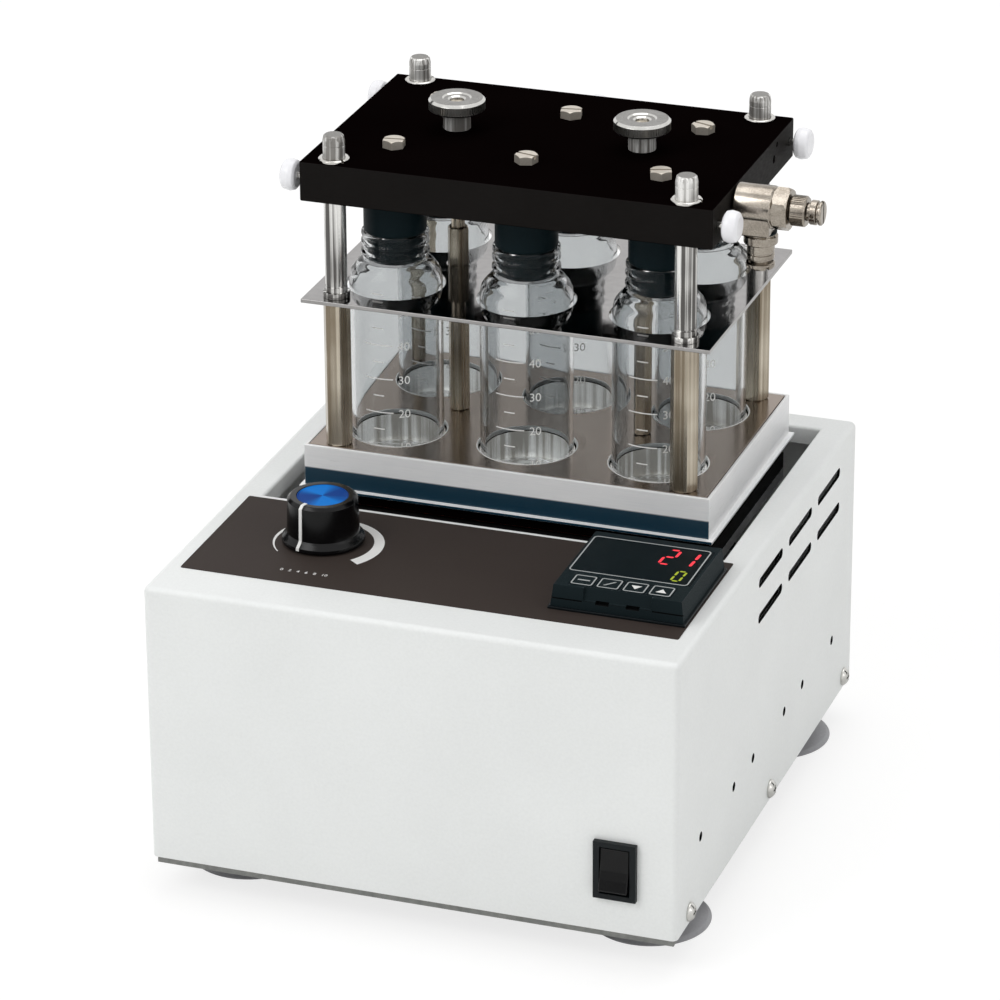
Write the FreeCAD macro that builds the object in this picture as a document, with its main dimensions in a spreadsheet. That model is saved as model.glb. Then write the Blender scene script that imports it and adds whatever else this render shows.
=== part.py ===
# Bench heater and shaker that dries six glass vials under a gas manifold.
# Millimetres. +X is to the right of the front panel, +Y to the back, +Z up from the bench.
import FreeCAD, Part

import math
import os

import Sketcher
from FreeCAD import Placement, Rotation, Vector


class Size:
    """A length that carries the formula which ties it to the sheet of driving sizes."""

    def __init__(self, value, formula):
        self.value = value
        self.formula = formula

    def __add__(self, other):
        other = as_size(other)
        return Size(self.value + other.value, f"({self.formula} + {other.formula})")

    def __sub__(self, other):
        other = as_size(other)
        return Size(self.value - other.value, f"({self.formula} - {other.formula})")

    def __mul__(self, other):
        other = as_size(other)
        return Size(self.value * other.value, f"({self.formula} * {other.formula})")

    def __truediv__(self, other):
        other = as_size(other)
        return Size(self.value / other.value, f"({self.formula} / {other.formula})")

    def __neg__(self):
        return Size(0.0, "0") - self

    __radd__ = __add__
    __rmul__ = __mul__

    def __rsub__(self, other):
        return as_size(other) - self


def as_size(item):
    """Gives a plain number the form of a Size."""
    if isinstance(item, Size):
        return item
    text = f"{item:g}" if item >= 0 else f"(0 - {-item:g})"
    return Size(float(item), text)


def larger(first, second):
    """The larger of two sizes."""
    return Size(max(first.value, second.value), f"max({first.formula}; {second.formula})")


# Driving sizes in millimetres. Each one can be changed by itself.
DRIVING_SIZES = {
    # Housing
    "cover_tall": 106, "cover_sheet": 1.2, "bend_radius": 2.2, "side_margin": 11, "rear_margin": 10.5,
    "foot_tall": 14, "foot_radius": 22, "foot_lip": 1.6, "foot_inset_x": 22, "foot_front": 39, "foot_rear": 29,
    "base_sheet": 1.5, "base_drop": 2.8, "base_flange": 12, "base_play": 0.3,
    "well_front": 87, "well_flange": 7, "well_play_x": 4.3, "well_play_y": 5.05, "vent_long": 30,
    "vent_tall": 3, "vent_pitch": 37.7, "vent_shift": 1.25, "vent_drop": 11.6, "vent_rise": 14,
    "tapped_radius": 1.4, "tapped_pair": 39.6, "tapped_pitch": 63.2, "tapped_mid": 110.4, "tapped_high": 27.5,
    "screw_radius": 1.9, "screw_play": 0.2, "screw_head_radius": 3.5, "screw_head_tall": 2.2, "screw_long": 8,
    "screw_front": 14.5, "screw_rear": 9.5, "screw_high": 4.6, "rear_screw_inset": 12, "rear_screw_drop": 10,
    "grille_slots": 8, "grille_wide": 4, "grille_tall": 26, "grille_pitch": 9, "grille_start": 60,
    "grille_high": 52,
    "label_inset": 6.4, "label_front": 19.2, "label_gap": 3.1, "label_thick": 0.3,
    # Controls
    "bezel_side": 48, "bezel_tall": 8.7, "bezel_inset": 7.7, "bezel_gap": 10.1,
    "case_side": 44.6, "case_tall": 58, "window_wide": 44, "window_deep": 29.4, "window_thick": 1.5,
    "window_shift": 4.7, "window_play": 0.1,
    "key_wide": 8.2, "key_deep": 8, "key_tall": 3.2, "key_pitch": 9.4, "key_shift": 17, "key_travel": 0.4,
    "key_proud": 0.2, "key_play": 0.2,
    "knob_inset": 45.9, "knob_gap": 30.6, "knob_radius": 13.1, "skirt_radius": 14.9, "knob_tall": 17.6,
    "cap_radius": 9.3, "shaft_radius": 3, "pot_radius": 12, "pot_tall": 11, "pot_thread": 1.5, "pot_nut": 4,
    "switch_wide": 15.5, "switch_tall": 22, "switch_inset": 22.1, "switch_high": 24.5, "switch_deep": 20,
    "rocker_wide": 10.4, "rocker_tall": 16, "rocker_tilt": 10, "rocker_crest": 4.6, "rocker_pivot": 1.5,
    "inlet_wide": 30, "inlet_tall": 24, "inlet_deep": 24, "inlet_inset": 38, "inlet_high": 40,
    "inlet_flange": 2.5, "inlet_socket": 17, "inlet_wall": 3,
    # Drive
    "deck_wide": 150, "deck_deep": 92, "deck_sheet": 2.5, "deck_drop": 4.6, "toe_wide": 8,
    "motor_radius": 24, "motor_floor": 10.5, "motor_boss": 6.5, "pulley_gap": 44,
    "motor_pulley_radius": 9, "crank_pulley_radius": 22, "pulley_tall": 8, "pulley_rim": 1.2,
    "rim_thick": 0.7, "belt_wide": 6, "belt_thick": 1.5,
    "crank_throw": 4, "crank_shaft_radius": 5, "crank_disc_radius": 14, "crank_pin_radius": 4,
    "idler_shaft_radius": 4, "idler_disc_radius": 9.5, "idler_pin_radius": 3, "idler_pin_play": 0.3,
    "idler_spread_x": 120, "idler_ahead": 31, "idler_behind": 34, "disc_thick": 5, "disc_play": 1.2,
    "bearing_wall": 5, "bearing_tall": 10, "bearing_flange": 2, "running_play": 0.05, "part_play": 0.3,
    # Orbiting tray
    "tray_rim_x": 10, "tray_rim_y": 8.5, "tray_rise": 15.3, "skirt_sheet": 1.2, "lip_wide": 1.7,
    "lip_drop": 0.4, "plate_thick": 1.5, "block_thick": 20, "heater_thick": 1.5, "heater_inset": 3,
    "insulation_thick": 6, "platform_thick": 4,
    "vial_gap_x": 16, "vial_gap_y": 16, "vial_radius": 17, "vial_wall": 1.7, "vial_tall": 90.4,
    "vial_sunk": 12.5, "vial_hole_play": 1, "neck_radius": 12.2, "neck_bore": 10.5, "neck_tall": 11.4,
    "shoulder_tall": 9,
    # Rack
    "shelf_drop": 20.7, "shelf_inset": 0.3, "shelf_over": 0.95, "post_across": 9, "post_chamfer": 0.8,
    "rod_radius": 4, "rod_inset_x": 11.5, "rod_inset_y": 6.15, "rod_above": 9.6, "rod_collar": 0.9,
    "rod_groove": 0.25, "centre_across": 7, "centre_inset": 15, "centre_above": 14.6, "stud_radius": 2.5,
    # Gas manifold
    "manifold_inset_x": 0.3, "manifold_inset_y": 0.5, "manifold_thick": 15, "manifold_gap": 16.2,
    "bush_wall": 1, "bush_tall": 4.5, "bush_lip": 0.6, "bush_flange_tall": 1.2,
    "channel_radius": 2.5, "stopper_radius": 11.4, "plug_play": 0.3, "plug_depth": 10.7,
    "nozzle_across": 7.4, "nozzle_head": 3, "nozzle_radius": 2, "nozzle_deep": 9,
    "nut_radius": 10.3, "nut_disc": 4.7, "nut_tall": 12, "nut_hub_radius": 5,
    "thumb_radius": 5.8, "thumb_long": 5.7, "thumb_gap": 2.6, "thumb_stud_radius": 1.5,
    # Gas valve
    "valve_ahead": 22, "valve_radius": 7.8, "valve_long": 14.2, "valve_hex": 14, "valve_hex_long": 5.6,
    "lock_radius": 5.5, "lock_long": 5.8, "needle_radius": 4.4, "needle_long": 5.4, "needle_stem": 1.6,
    "spigot_radius": 4, "spigot_long": 8, "port_offset": 9, "port_collar_radius": 6.1,
    "port_barrel_radius": 4.95, "port_long": 9.5,
    "ring_radius": 5.2, "ring_travel": 1, "tube_radius": 3,
}

FACING = {
    "up": Rotation(),
    "right": Rotation(Vector(0, 1, 0), 90),
    "left": Rotation(Vector(0, 1, 0), -90),
    "back": Rotation(Vector(1, 0, 0), -90),
    "front": Rotation(Vector(1, 0, 0), 90),
}


class SizeSheet:
    """Writes the driving sizes to a spreadsheet and hands each one out by its name."""

    def __init__(self, document, sizes):
        sheet = document.addObject("Spreadsheet::Sheet", "Sizes")
        for row, (alias, value) in enumerate(sizes.items(), 1):
            sheet.set(f"A{row}", alias)
            sheet.set(f"B{row}", str(value))
            sheet.setAlias(f"B{row}", alias)
            setattr(self, alias, Size(float(value), f"Sizes.{alias}"))
        document.recompute()


doc = FreeCAD.newDocument("VialEvaporator")
s = SizeSheet(doc, DRIVING_SIZES)
pieces = []

# Lengths and places that follow from the driving sizes: the tray is laid out round the vials, the well
# leaves the tray room to orbit, and the cover is laid out round the well
vial_pitch_x = s.vial_radius * 2 + s.vial_gap_x
vial_pitch_y = s.vial_radius * 2 + s.vial_gap_y
tray_wide = vial_pitch_x * 2 + (s.vial_radius + s.tray_rim_x) * 2
tray_deep = vial_pitch_y + (s.vial_radius + s.tray_rim_y) * 2
inner_tray_wide = tray_wide - (s.skirt_sheet + s.part_play) * 2
inner_tray_deep = tray_deep - (s.skirt_sheet + s.part_play) * 2
well_wide = tray_wide + (s.lip_wide + s.crank_throw + s.well_play_x) * 2
well_deep = tray_deep + (s.lip_wide + s.crank_throw + s.well_play_y) * 2
well_mid = s.well_front + well_deep / 2
tray_mid = well_mid + s.crank_throw
cover_wide = well_wide + s.side_margin * 2
cover_deep = s.well_front + well_deep + s.rear_margin
inner_wide = cover_wide - s.cover_sheet * 2
foot_spread_x = cover_wide - s.foot_inset_x * 2
foot_lines = [s.foot_front, cover_deep - s.foot_rear]
bezel_mid_x = cover_wide / 2 - s.bezel_inset - s.bezel_side / 2
bezel_mid_y = s.well_front - s.bezel_gap - s.bezel_side / 2
knob_mid_x = s.knob_inset - cover_wide / 2
knob_mid_y = s.well_front - s.knob_gap
switch_mid_x = cover_wide / 2 - s.switch_inset
inlet_mid_x = cover_wide / 2 - s.inlet_inset
rod_spread_x = tray_wide - s.rod_inset_x * 2
rod_spread_y = tray_deep - s.rod_inset_y * 2
centre_spread = vial_pitch_x * 2 - s.centre_inset * 2
manifold_wide = tray_wide - s.manifold_inset_x * 2
manifold_deep = tray_deep - s.manifold_inset_y * 2
manifold_side = manifold_wide / 2

base_low = s.foot_tall - s.base_drop
base_top = base_low + s.base_sheet
panel_top = s.foot_tall + s.cover_tall
label_top = panel_top + s.label_thick
tray_top = panel_top + s.tray_rise
block_top = tray_top - s.plate_thick
block_low = block_top - s.block_thick
heater_low = block_low - s.heater_thick
insulation_low = heater_low - s.insulation_thick
platform_low = insulation_low - s.platform_thick
disc_low = platform_low - s.bearing_tall - s.disc_play - s.disc_thick
pulley_low = disc_low - 1 - s.pulley_tall
pin_top = platform_low - 1
deck_high = pulley_low - s.deck_drop
vial_low = tray_top - s.vial_sunk
vial_top = vial_low + s.vial_tall
shelf_top = vial_top - s.shelf_drop
shelf_low = shelf_top - s.plate_thick
manifold_low = vial_top + s.manifold_gap
manifold_top = manifold_low + s.manifold_thick
manifold_mid_z = manifold_low + s.manifold_thick / 2

hole_radius = s.vial_radius + s.vial_hole_play
bush_radius = s.rod_radius + s.bush_wall
valve_y = tray_mid - s.valve_ahead
needle_reach = manifold_side + s.valve_long + s.valve_hex_long + s.lock_long + s.needle_long + s.part_play * 3
side_reach = larger(cover_wide / 2 + s.screw_head_tall, foot_spread_x / 2 + s.foot_radius)
tilt = math.radians(s.rocker_tilt.value)
rocker_reach = s.rocker_crest * math.cos(tilt) + s.rocker_tall / 2 * math.sin(tilt) - s.rocker_pivot

# The origin lies on the bench, under the middle of everything the object reaches
origin_x = (larger(needle_reach, side_reach) - side_reach) / 2
origin_y = (cover_deep + s.inlet_flange - rocker_reach) / 2


def tie(obj, **sizes):
    """Binds properties of an object to the formulas of its sizes."""
    for name, size in sizes.items():
        obj.setExpression(name, as_size(size).formula)
    return obj


def put(obj, x, y, z, facing="up"):
    """Places an object by housing coordinates: x from the mid plane, y from the front, z from the bench."""
    obj.Placement = Placement(Vector(), FACING[facing])
    for path, size in (("x", as_size(x) - origin_x), ("y", as_size(y) - origin_y), ("z", as_size(z))):
        obj.setExpression("Placement.Base." + path, size.formula)
    return obj


def block(wide, deep, tall, x, y, z):
    """A block centred on x and y, standing on z."""
    solid = tie(doc.addObject("Part::Box", "Block"), Length=wide, Width=deep, Height=tall)
    return put(solid, as_size(x) - as_size(wide) / 2, as_size(y) - as_size(deep) / 2, z)


def cylinder(radius, tall, x, y, z, facing="up"):
    """A round bar that starts at a point and runs the way it faces."""
    solid = tie(doc.addObject("Part::Cylinder", "Round"), Radius=radius, Height=tall)
    return put(solid, x, y, z, facing)


def hexagon(across, tall, x, y, z, facing="up"):
    """A six-sided bar given by its width across flats."""
    solid = doc.addObject("Part::Prism", "Hexagon")
    solid.Polygon = 6
    tie(solid, Circumradius=as_size(across) / math.sqrt(3), Height=tall)
    return put(solid, x, y, z, facing)


def carve(base, *tools):
    """Takes the tools out of a solid."""
    result = doc.addObject("Part::Cut", "Carved")
    result.Base = base
    result.Tool = tools[0] if len(tools) == 1 else join(*tools)
    return result


def join(*parts):
    """Fuses parts into one solid."""
    result = doc.addObject("Part::MultiFuse", "Joined")
    result.Shapes = list(parts)
    return result


def bundle(*parts):
    """Keeps like pieces together as separate solids of one node."""
    result = doc.addObject("Part::Compound", "Bundle")
    result.Links = list(parts)
    return result


def keep(obj, label):
    """Names a sub-part and puts it on the list of those that are written out."""
    obj.Label = label
    pieces.append(obj)
    return obj


def origin_plane(body, role):
    """Finds one of a body's own origin planes."""
    return next(feature for feature in body.Origin.OriginFeatures if feature.Role == role)


def new_sketch(body, role):
    """Starts a sketch flat on an origin plane of its body."""
    sketch = body.newObject("Sketcher::SketchObject", "Sketch")
    sketch.AttachmentSupport = [(origin_plane(body, role), "")]
    sketch.MapMode = "FlatFace"
    return sketch


def fix_point(sketch, geometry, point, across, up):
    """Ties one point of a sketch to its two distances from the sketch's origin."""
    for kind, axis, distance in (("DistanceX", -2, across), ("DistanceY", -1, up)):
        size = as_size(distance)
        if size.formula == "0":
            sketch.addConstraint(Sketcher.Constraint("PointOnObject", geometry, point, axis))
        else:
            index = sketch.addConstraint(Sketcher.Constraint(kind, -1, 1, geometry, point, size.value))
            sketch.setExpression(f"Constraints[{index}]", size.formula)


def draw_outline(sketch, corners):
    """Draws a closed run of straight lines whose corners are tied to sizes."""
    first = sketch.GeometryCount
    count = len(corners)
    points = [Vector(as_size(across).value, as_size(up).value, 0) for across, up in corners]
    for start, end in zip(points, points[1:] + points[:1]):
        sketch.addGeometry(Part.LineSegment(start, end), False)
    for n in range(count):
        sketch.addConstraint(Sketcher.Constraint("Coincident", first + n, 2, first + (n + 1) % count, 1))
    for n, (across, up) in enumerate(corners):
        fix_point(sketch, first + n, 1, across, up)


def turned(profile, x, y, z, facing="up"):
    """A piece turned about its own axis from a profile of radius and height pairs."""
    body = doc.addObject("PartDesign::Body", "Turned")
    sketch = new_sketch(body, "XZ_Plane")
    draw_outline(sketch, profile)
    revolution = body.newObject("PartDesign::Revolution", "Revolution")
    revolution.Profile = sketch
    revolution.ReferenceAxis = (sketch, ["V_Axis"])
    revolution.Angle = 360
    sketch.Visibility = False
    return put(body, x, y, z, facing)


def pressed(corners, tall, x, y, z, facing="up"):
    """A prism of a straight-sided outline."""
    body = doc.addObject("PartDesign::Body", "Pressed")
    sketch = new_sketch(body, "XY_Plane")
    draw_outline(sketch, corners)
    pad = body.newObject("PartDesign::Pad", "Pad")
    pad.Profile = sketch
    tie(pad, Length=tall)
    return put(body, x, y, z, facing)


def round_edges(body, radius, chosen):
    """Rounds the edges of a body whose middle passes the test."""
    doc.recompute()
    tip = body.Tip
    names = [f"Edge{n}" for n, edge in enumerate(tip.Shape.Edges, 1) if chosen(edge.CenterOfMass)]
    fillet = body.newObject("PartDesign::Fillet", "Fillet")
    fillet.Base = (tip, names)
    tie(fillet, Radius=radius)
    return body


def rectangle(wide, deep):
    """Corners of a rectangle centred on its sketch's origin."""
    half_wide = as_size(wide) / 2
    half_deep = as_size(deep) / 2
    return [
        (-half_wide, -half_deep), (half_wide, -half_deep), (half_wide, half_deep),
        (-half_wide, half_deep)]


def vial_places():
    """Names and centres of the six vials, front row first."""
    for row, side in (("front", -1), ("rear", 1)):
        for column, step in (("left", -1), ("middle", 0), ("right", 1)):
            yield f"{row}_{column}", vial_pitch_x * step, tray_mid + vial_pitch_y / 2 * side


def rod_places():
    """Centres of the four guide rods, with the corner each stands in."""
    for row, front in (("front", -1), ("rear", 1)):
        for column, side in (("left", -1), ("right", 1)):
            yield f"{row}_{column}", rod_spread_x / 2 * side, tray_mid + rod_spread_y / 2 * front


def side_screw_places():
    """Places along each side of the cover where it is screwed to the base."""
    rear = cover_deep - s.screw_rear
    return [s.screw_front, (s.screw_front + rear) / 2, rear]


# Housing

def make_cover():
    """The bent sheet cover, open below and at the back, with the well for the tray."""
    shell = pressed(
        [(-cover_wide / 2, 0), (cover_wide / 2, 0), (cover_wide / 2, cover_deep),
         (-cover_wide / 2, cover_deep)],
        s.cover_tall, 0, 0, s.foot_tall)
    half = cover_wide.value / 2
    top = s.cover_tall.value
    near = 0.01
    round_edges(shell, s.bend_radius, lambda p: (
        abs(p.y) < near and (abs(abs(p.x) - half) < near or abs(p.z - top) < near)
        or abs(p.z - top) < near and abs(abs(p.x) - half) < near))
    inside_tall = s.cover_tall - s.cover_sheet
    hollow = block(inner_wide, cover_deep, inside_tall, 0, cover_deep / 2 + s.cover_sheet, s.foot_tall)
    flange = block(well_wide + s.cover_sheet * 2, well_deep + s.cover_sheet * 2, s.well_flange,
                   0, well_mid, panel_top - s.well_flange)
    well = block(well_wide, well_deep, s.well_flange * 2, 0, well_mid, panel_top - s.well_flange * 1.5)
    pot_hole = cylinder(s.shaft_radius + s.pot_thread + s.screw_play, s.cover_sheet * 3, knob_mid_x,
                        knob_mid_y, panel_top - s.cover_sheet * 2)
    controller_hole = block(s.case_side + s.part_play * 2, s.case_side + s.part_play * 2, s.cover_sheet * 3,
                            bezel_mid_x, bezel_mid_y, panel_top - s.cover_sheet * 2)
    switch_hole = block(s.switch_wide - 2 + s.part_play, s.cover_sheet * 4,
                        s.switch_tall - 3 + s.part_play, switch_mid_x, 0,
                        s.foot_tall + s.switch_high - (s.switch_tall - 3 + s.part_play) / 2)
    side_holes = []
    for y in side_screw_places():
        side_holes.append(cylinder(s.screw_radius + s.screw_play, cover_wide * 1.1, -cover_wide * 0.55, y,
                                   s.foot_tall + s.screw_high, "right"))
    for step in (-1, 0, 1):
        for side in (-1, 1):
            side_holes.append(cylinder(s.tapped_radius, cover_wide * 1.1, -cover_wide * 0.55,
                                       s.tapped_mid + s.tapped_pitch * step + s.tapped_pair / 2 * side,
                                       s.foot_tall + s.tapped_high, "right"))
        for row in (0, 1):
            side_holes.append(vent(well_mid - s.vent_shift + s.vent_pitch * step,
                                   panel_top - s.vent_drop - s.vent_rise * row))
    body = join(carve(shell, hollow), flange)
    return keep(carve(body, well, pot_hole, controller_hole, switch_hole, *side_holes), "cover")


def vent(y, z):
    """The space of one round-ended air slot, through both sides of the cover."""
    across = cover_wide * 1.1
    straight = s.vent_long - s.vent_tall
    ends = [cylinder(s.vent_tall / 2, across, -across / 2, y + straight / 2 * side, z,
                     "right") for side in (-1, 1)]
    return join(block(across, straight, s.vent_tall, 0, y, z - s.vent_tall / 2), *ends)


def make_base_plate():
    """The folded base tray that closes the housing from below."""
    wide = inner_wide - s.base_play * 2
    deep = cover_deep - s.cover_sheet * 2 - s.base_play * 2
    mid = cover_deep / 2
    tray = block(wide, deep, s.base_sheet + s.base_flange, 0, mid, base_low)
    inside = block(wide - s.base_sheet * 2, deep - s.base_sheet * 2, s.base_flange * 2, 0, mid,
                   base_low + s.base_sheet)
    holes = [cylinder(s.screw_radius + s.running_play, cover_wide * 1.1, -cover_wide * 0.55, y,
                      s.foot_tall + s.screw_high, "right")
             for y in side_screw_places()]
    holes += [cylinder(s.screw_radius + s.running_play, s.cover_sheet * 8, x,
                       cover_deep - s.cover_sheet * 6, z, "back")
              for x, z in rear_screw_places()[:2]]
    return keep(carve(tray, inside, *holes), "base_plate")


def rear_screw_places():
    """Places of the four screws in the rear panel, the lower two first."""
    reach = inner_wide / 2 - s.rear_screw_inset
    low = s.foot_tall + s.screw_high
    high = panel_top - s.cover_sheet - s.rear_screw_drop
    return [(-reach, low), (reach, low), (-reach, high), (reach, high)]


def make_rear_panel():
    """The rear wall with the opening for the power inlet and two lugs that take the upper screws."""
    play = s.base_play
    tall = s.cover_tall - s.cover_sheet - play
    panel = block(inner_wide - play * 2, s.cover_sheet, tall, 0, cover_deep - s.cover_sheet / 2,
                  s.foot_tall)
    opening = block(s.inlet_wide - s.inlet_wall + play, s.cover_sheet * 4, s.inlet_tall - 4 + play,
                    inlet_mid_x, cover_deep, s.foot_tall + s.inlet_high - (s.inlet_tall - 4 + play) / 2)
    holes = [cylinder(s.screw_radius + s.screw_play, s.cover_sheet * 4, x, cover_deep - s.cover_sheet * 2,
                      z, "back") for x, z in rear_screw_places()]
    slots = [block(s.grille_wide, s.cover_sheet * 4, s.grille_tall, s.grille_pitch * n - s.grille_start,
                   cover_deep, s.foot_tall + s.grille_high) for n in range(int(s.grille_slots.value))]
    return keep(carve(panel, opening, *holes, *slots), "rear_panel")


def housing_screw(x, y, z, facing):
    """A pan head screw whose head bears on a face at the given point and whose shank runs on."""
    head = s.screw_head_radius
    tall = s.screw_head_tall
    profile = [
        (0, -tall), (head * 0.55, -tall), (head * 0.88, -tall * 0.72), (head, -tall * 0.35), (head, 0),
        (s.screw_radius, 0), (s.screw_radius, s.screw_long), (0, s.screw_long)]
    return turned(profile, x, y, z, facing)


def make_housing_screws():
    """The screws that hold the cover and the rear panel."""
    z = s.foot_tall + s.screw_high
    screws = []
    for y in side_screw_places():
        screws.append(housing_screw(cover_wide / 2, y, z, "left"))
        screws.append(housing_screw(-cover_wide / 2, y, z, "right"))
    for x, height in rear_screw_places():
        screws.append(housing_screw(x, cover_deep, height, "front"))
    return keep(bundle(*screws), "housing_screws")


def make_suction_feet():
    """Four rubber suction feet, hollow below, each under a corner of the base."""
    rim = s.foot_radius
    profile = [
        (0, 3), (rim * 0.45, 2.4), (rim - s.foot_lip, 0), (rim, 0), (rim, 0.9), (rim * 0.66, 4.6),
        (rim * 0.45, 8), (rim * 0.42, base_low), (0, base_low)]
    feet = [turned(profile, foot_spread_x / 2 * side, y, 0) for side in (-1, 1) for y in foot_lines]
    return keep(bundle(*feet), "suction_feet")


def make_panel_label():
    """The dark film on the front part of the cover's top."""
    deep = s.well_front - s.label_gap - s.label_front
    film = block(cover_wide - s.label_inset * 2, deep, s.label_thick, 0, s.label_front + deep / 2,
                 panel_top)
    pot_hole = cylinder(s.shaft_radius + s.pot_nut + s.screw_play, s.cover_sheet * 3, knob_mid_x,
                        knob_mid_y, panel_top - s.cover_sheet)
    controller_hole = block(s.case_side + s.part_play * 2, s.case_side + s.part_play * 2, s.cover_sheet * 3,
                            bezel_mid_x, bezel_mid_y, panel_top - s.cover_sheet)
    return keep(carve(film, pot_hole, controller_hole), "panel_label")


# Controls

def key_places():
    """Centres of the four controller keys."""
    return [(bezel_mid_x + s.key_pitch * (n - 1.5), bezel_mid_y - s.key_shift) for n in range(4)]


def make_controller():
    """The temperature controller: its case below the panel, bezel, window and four keys."""
    low = label_top
    case = block(s.case_side, s.case_side, s.case_tall, bezel_mid_x, bezel_mid_y, low - s.case_tall)
    terminals = block(s.case_side * 0.86, s.case_side * 0.5, 4, bezel_mid_x, bezel_mid_y,
                      low - s.case_tall - 4)
    keep(join(case, terminals), "controller_case")
    bezel = pressed(rectangle(s.bezel_side, s.bezel_side), s.bezel_tall, bezel_mid_x, bezel_mid_y, low)
    half = s.bezel_side.value / 2
    top = s.bezel_tall.value
    round_edges(bezel, s.bend_radius / 2,
                lambda p: abs(abs(p.x) - half) < 0.01 and abs(abs(p.y) - half) < 0.01
                or abs(p.z - top) < 0.01)
    window_y = bezel_mid_y + s.window_shift
    window_low = low + s.bezel_tall - s.window_thick
    recess = block(s.window_wide + s.window_play * 2, s.window_deep + s.window_play * 2, s.window_thick * 2,
                   bezel_mid_x, window_y, window_low)
    key_holes = [block(s.key_wide + s.key_play * 2, s.key_deep + s.key_play * 2, s.key_tall * 2, x, y,
                       low + s.bezel_tall - s.key_tall - s.key_travel) for x, y in key_places()]
    keep(carve(bezel, recess, *key_holes), "controller_bezel")
    keep(block(s.window_wide, s.window_deep, s.window_thick, bezel_mid_x, window_y, window_low),
         "controller_window")
    for n, (x, y) in enumerate(key_places(), 1):
        key = pressed(rectangle(s.key_wide, s.key_deep), s.key_tall, x, y,
                      low + s.bezel_tall - s.key_tall + s.key_proud)
        key_top = s.key_tall.value
        round_edges(key, 0.4, lambda p: abs(p.z - key_top) < 0.01)
        keep(key, f"controller_key_{n}")


def make_speed_control():
    """The speed potentiometer under the panel and the knob on its shaft."""
    under = panel_top - s.cover_sheet
    above = label_top
    shaft = s.shaft_radius
    shaft_top = above + s.knob_tall - 5
    neck = shaft + s.pot_thread
    nut = shaft + s.pot_nut
    profile = [
        (0, under - s.pot_tall), (s.pot_radius, under - s.pot_tall), (s.pot_radius, under),
        (neck, under), (neck, panel_top), (nut, panel_top), (nut, panel_top + 2),
        (shaft, panel_top + 2), (shaft, shaft_top), (0, shaft_top)]
    keep(turned(profile, knob_mid_x, knob_mid_y, 0), "speed_potentiometer")
    bore = shaft + s.running_play
    wall = s.knob_radius
    skirt = s.skirt_radius
    tall = s.knob_tall
    cavity = nut + 0.8
    profile = [
        (bore, 4), (cavity, 4), (cavity, 0.6), (skirt, 0.6), (skirt, 2.4), (wall + 0.4, 3.4),
        (wall, 4.6), (wall - 0.6, tall - 1.2), (wall - 1.6, tall), (s.cap_radius, tall),
        (s.cap_radius, tall - 0.4), (0, tall - 0.4), (0, tall - 4.8), (bore, tall - 4.8)]
    keep(turned(profile, knob_mid_x, knob_mid_y, above), "speed_knob")


def make_power_switch():
    """The rocker switch in the front panel."""
    x = switch_mid_x
    z = s.foot_tall + s.switch_high
    bezel = block(s.switch_wide, 2, s.switch_tall, x, -1, z - s.switch_tall / 2)
    body = block(s.switch_wide - 2, s.switch_deep, s.switch_tall - 3, x, s.switch_deep / 2,
                 z - (s.switch_tall - 3) / 2)
    pocket = block(s.rocker_wide + s.part_play * 2, 13, s.rocker_tall + 2, x, 4.5,
                   z - (s.rocker_tall + 2) / 2)
    pins = [block(0.8, 7, 4.8, x, s.switch_deep + 3.5, z - 2.4 + 6.5 * side) for side in (-1, 1)]
    keep(carve(join(bezel, body, *pins), pocket), "switch_housing")
    half = s.rocker_tall / 2
    crest = s.rocker_crest
    profile = [
        (-half, -crest), (0, -crest + 0.9), (half, -crest), (half - 0.3, -crest + 2.4), (2.4, 3.2),
        (-2.4, 3.2), (-half + 0.3, -crest + 2.4)]
    rocker = pressed(profile, s.rocker_wide, x - s.rocker_wide / 2, s.rocker_pivot, z)
    across = Rotation(Vector(0, 0, -1), Vector(0, 1, 0), Vector(1, 0, 0), "ZXY")
    rocker.Placement = Placement(rocker.Placement.Base, Rotation(Vector(1, 0, 0),
                                                                 -s.rocker_tilt.value) * across)
    keep(rocker, "switch_rocker")


def make_power_inlet():
    """The power inlet with its three pins, let into the rear panel."""
    x = inlet_mid_x
    z = s.foot_tall + s.inlet_high
    flange = block(s.inlet_wide, s.inlet_flange, s.inlet_tall, x, cover_deep + s.inlet_flange / 2,
                   z - s.inlet_tall / 2)
    body = block(s.inlet_wide - s.inlet_wall, s.inlet_deep, s.inlet_tall - 4, x,
                 cover_deep - s.inlet_deep / 2, z - (s.inlet_tall - 4) / 2)
    deep = s.inlet_socket
    socket = block(s.inlet_wide - s.inlet_wall * 2, deep * 2, s.inlet_tall - 8, x,
                   cover_deep + s.inlet_flange, z - (s.inlet_tall - 8) / 2)
    pins = [block(2, 12, 4, x + dx, cover_deep + s.inlet_flange - deep + 5.5, z + dz - 2)
            for dx, dz in ((-7, -1.5), (7, -1.5), (0, 2.5))]
    keep(join(carve(join(flange, body), socket), *pins), "power_inlet")


# Drive below the tray

def idler_places():
    """Names and shaft centres of the three idler cranks."""
    half = s.idler_spread_x / 2
    return [
        ("left", -half, well_mid - s.idler_ahead), ("right", half, well_mid - s.idler_ahead),
        ("rear", as_size(0), well_mid + s.idler_behind)]


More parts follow.
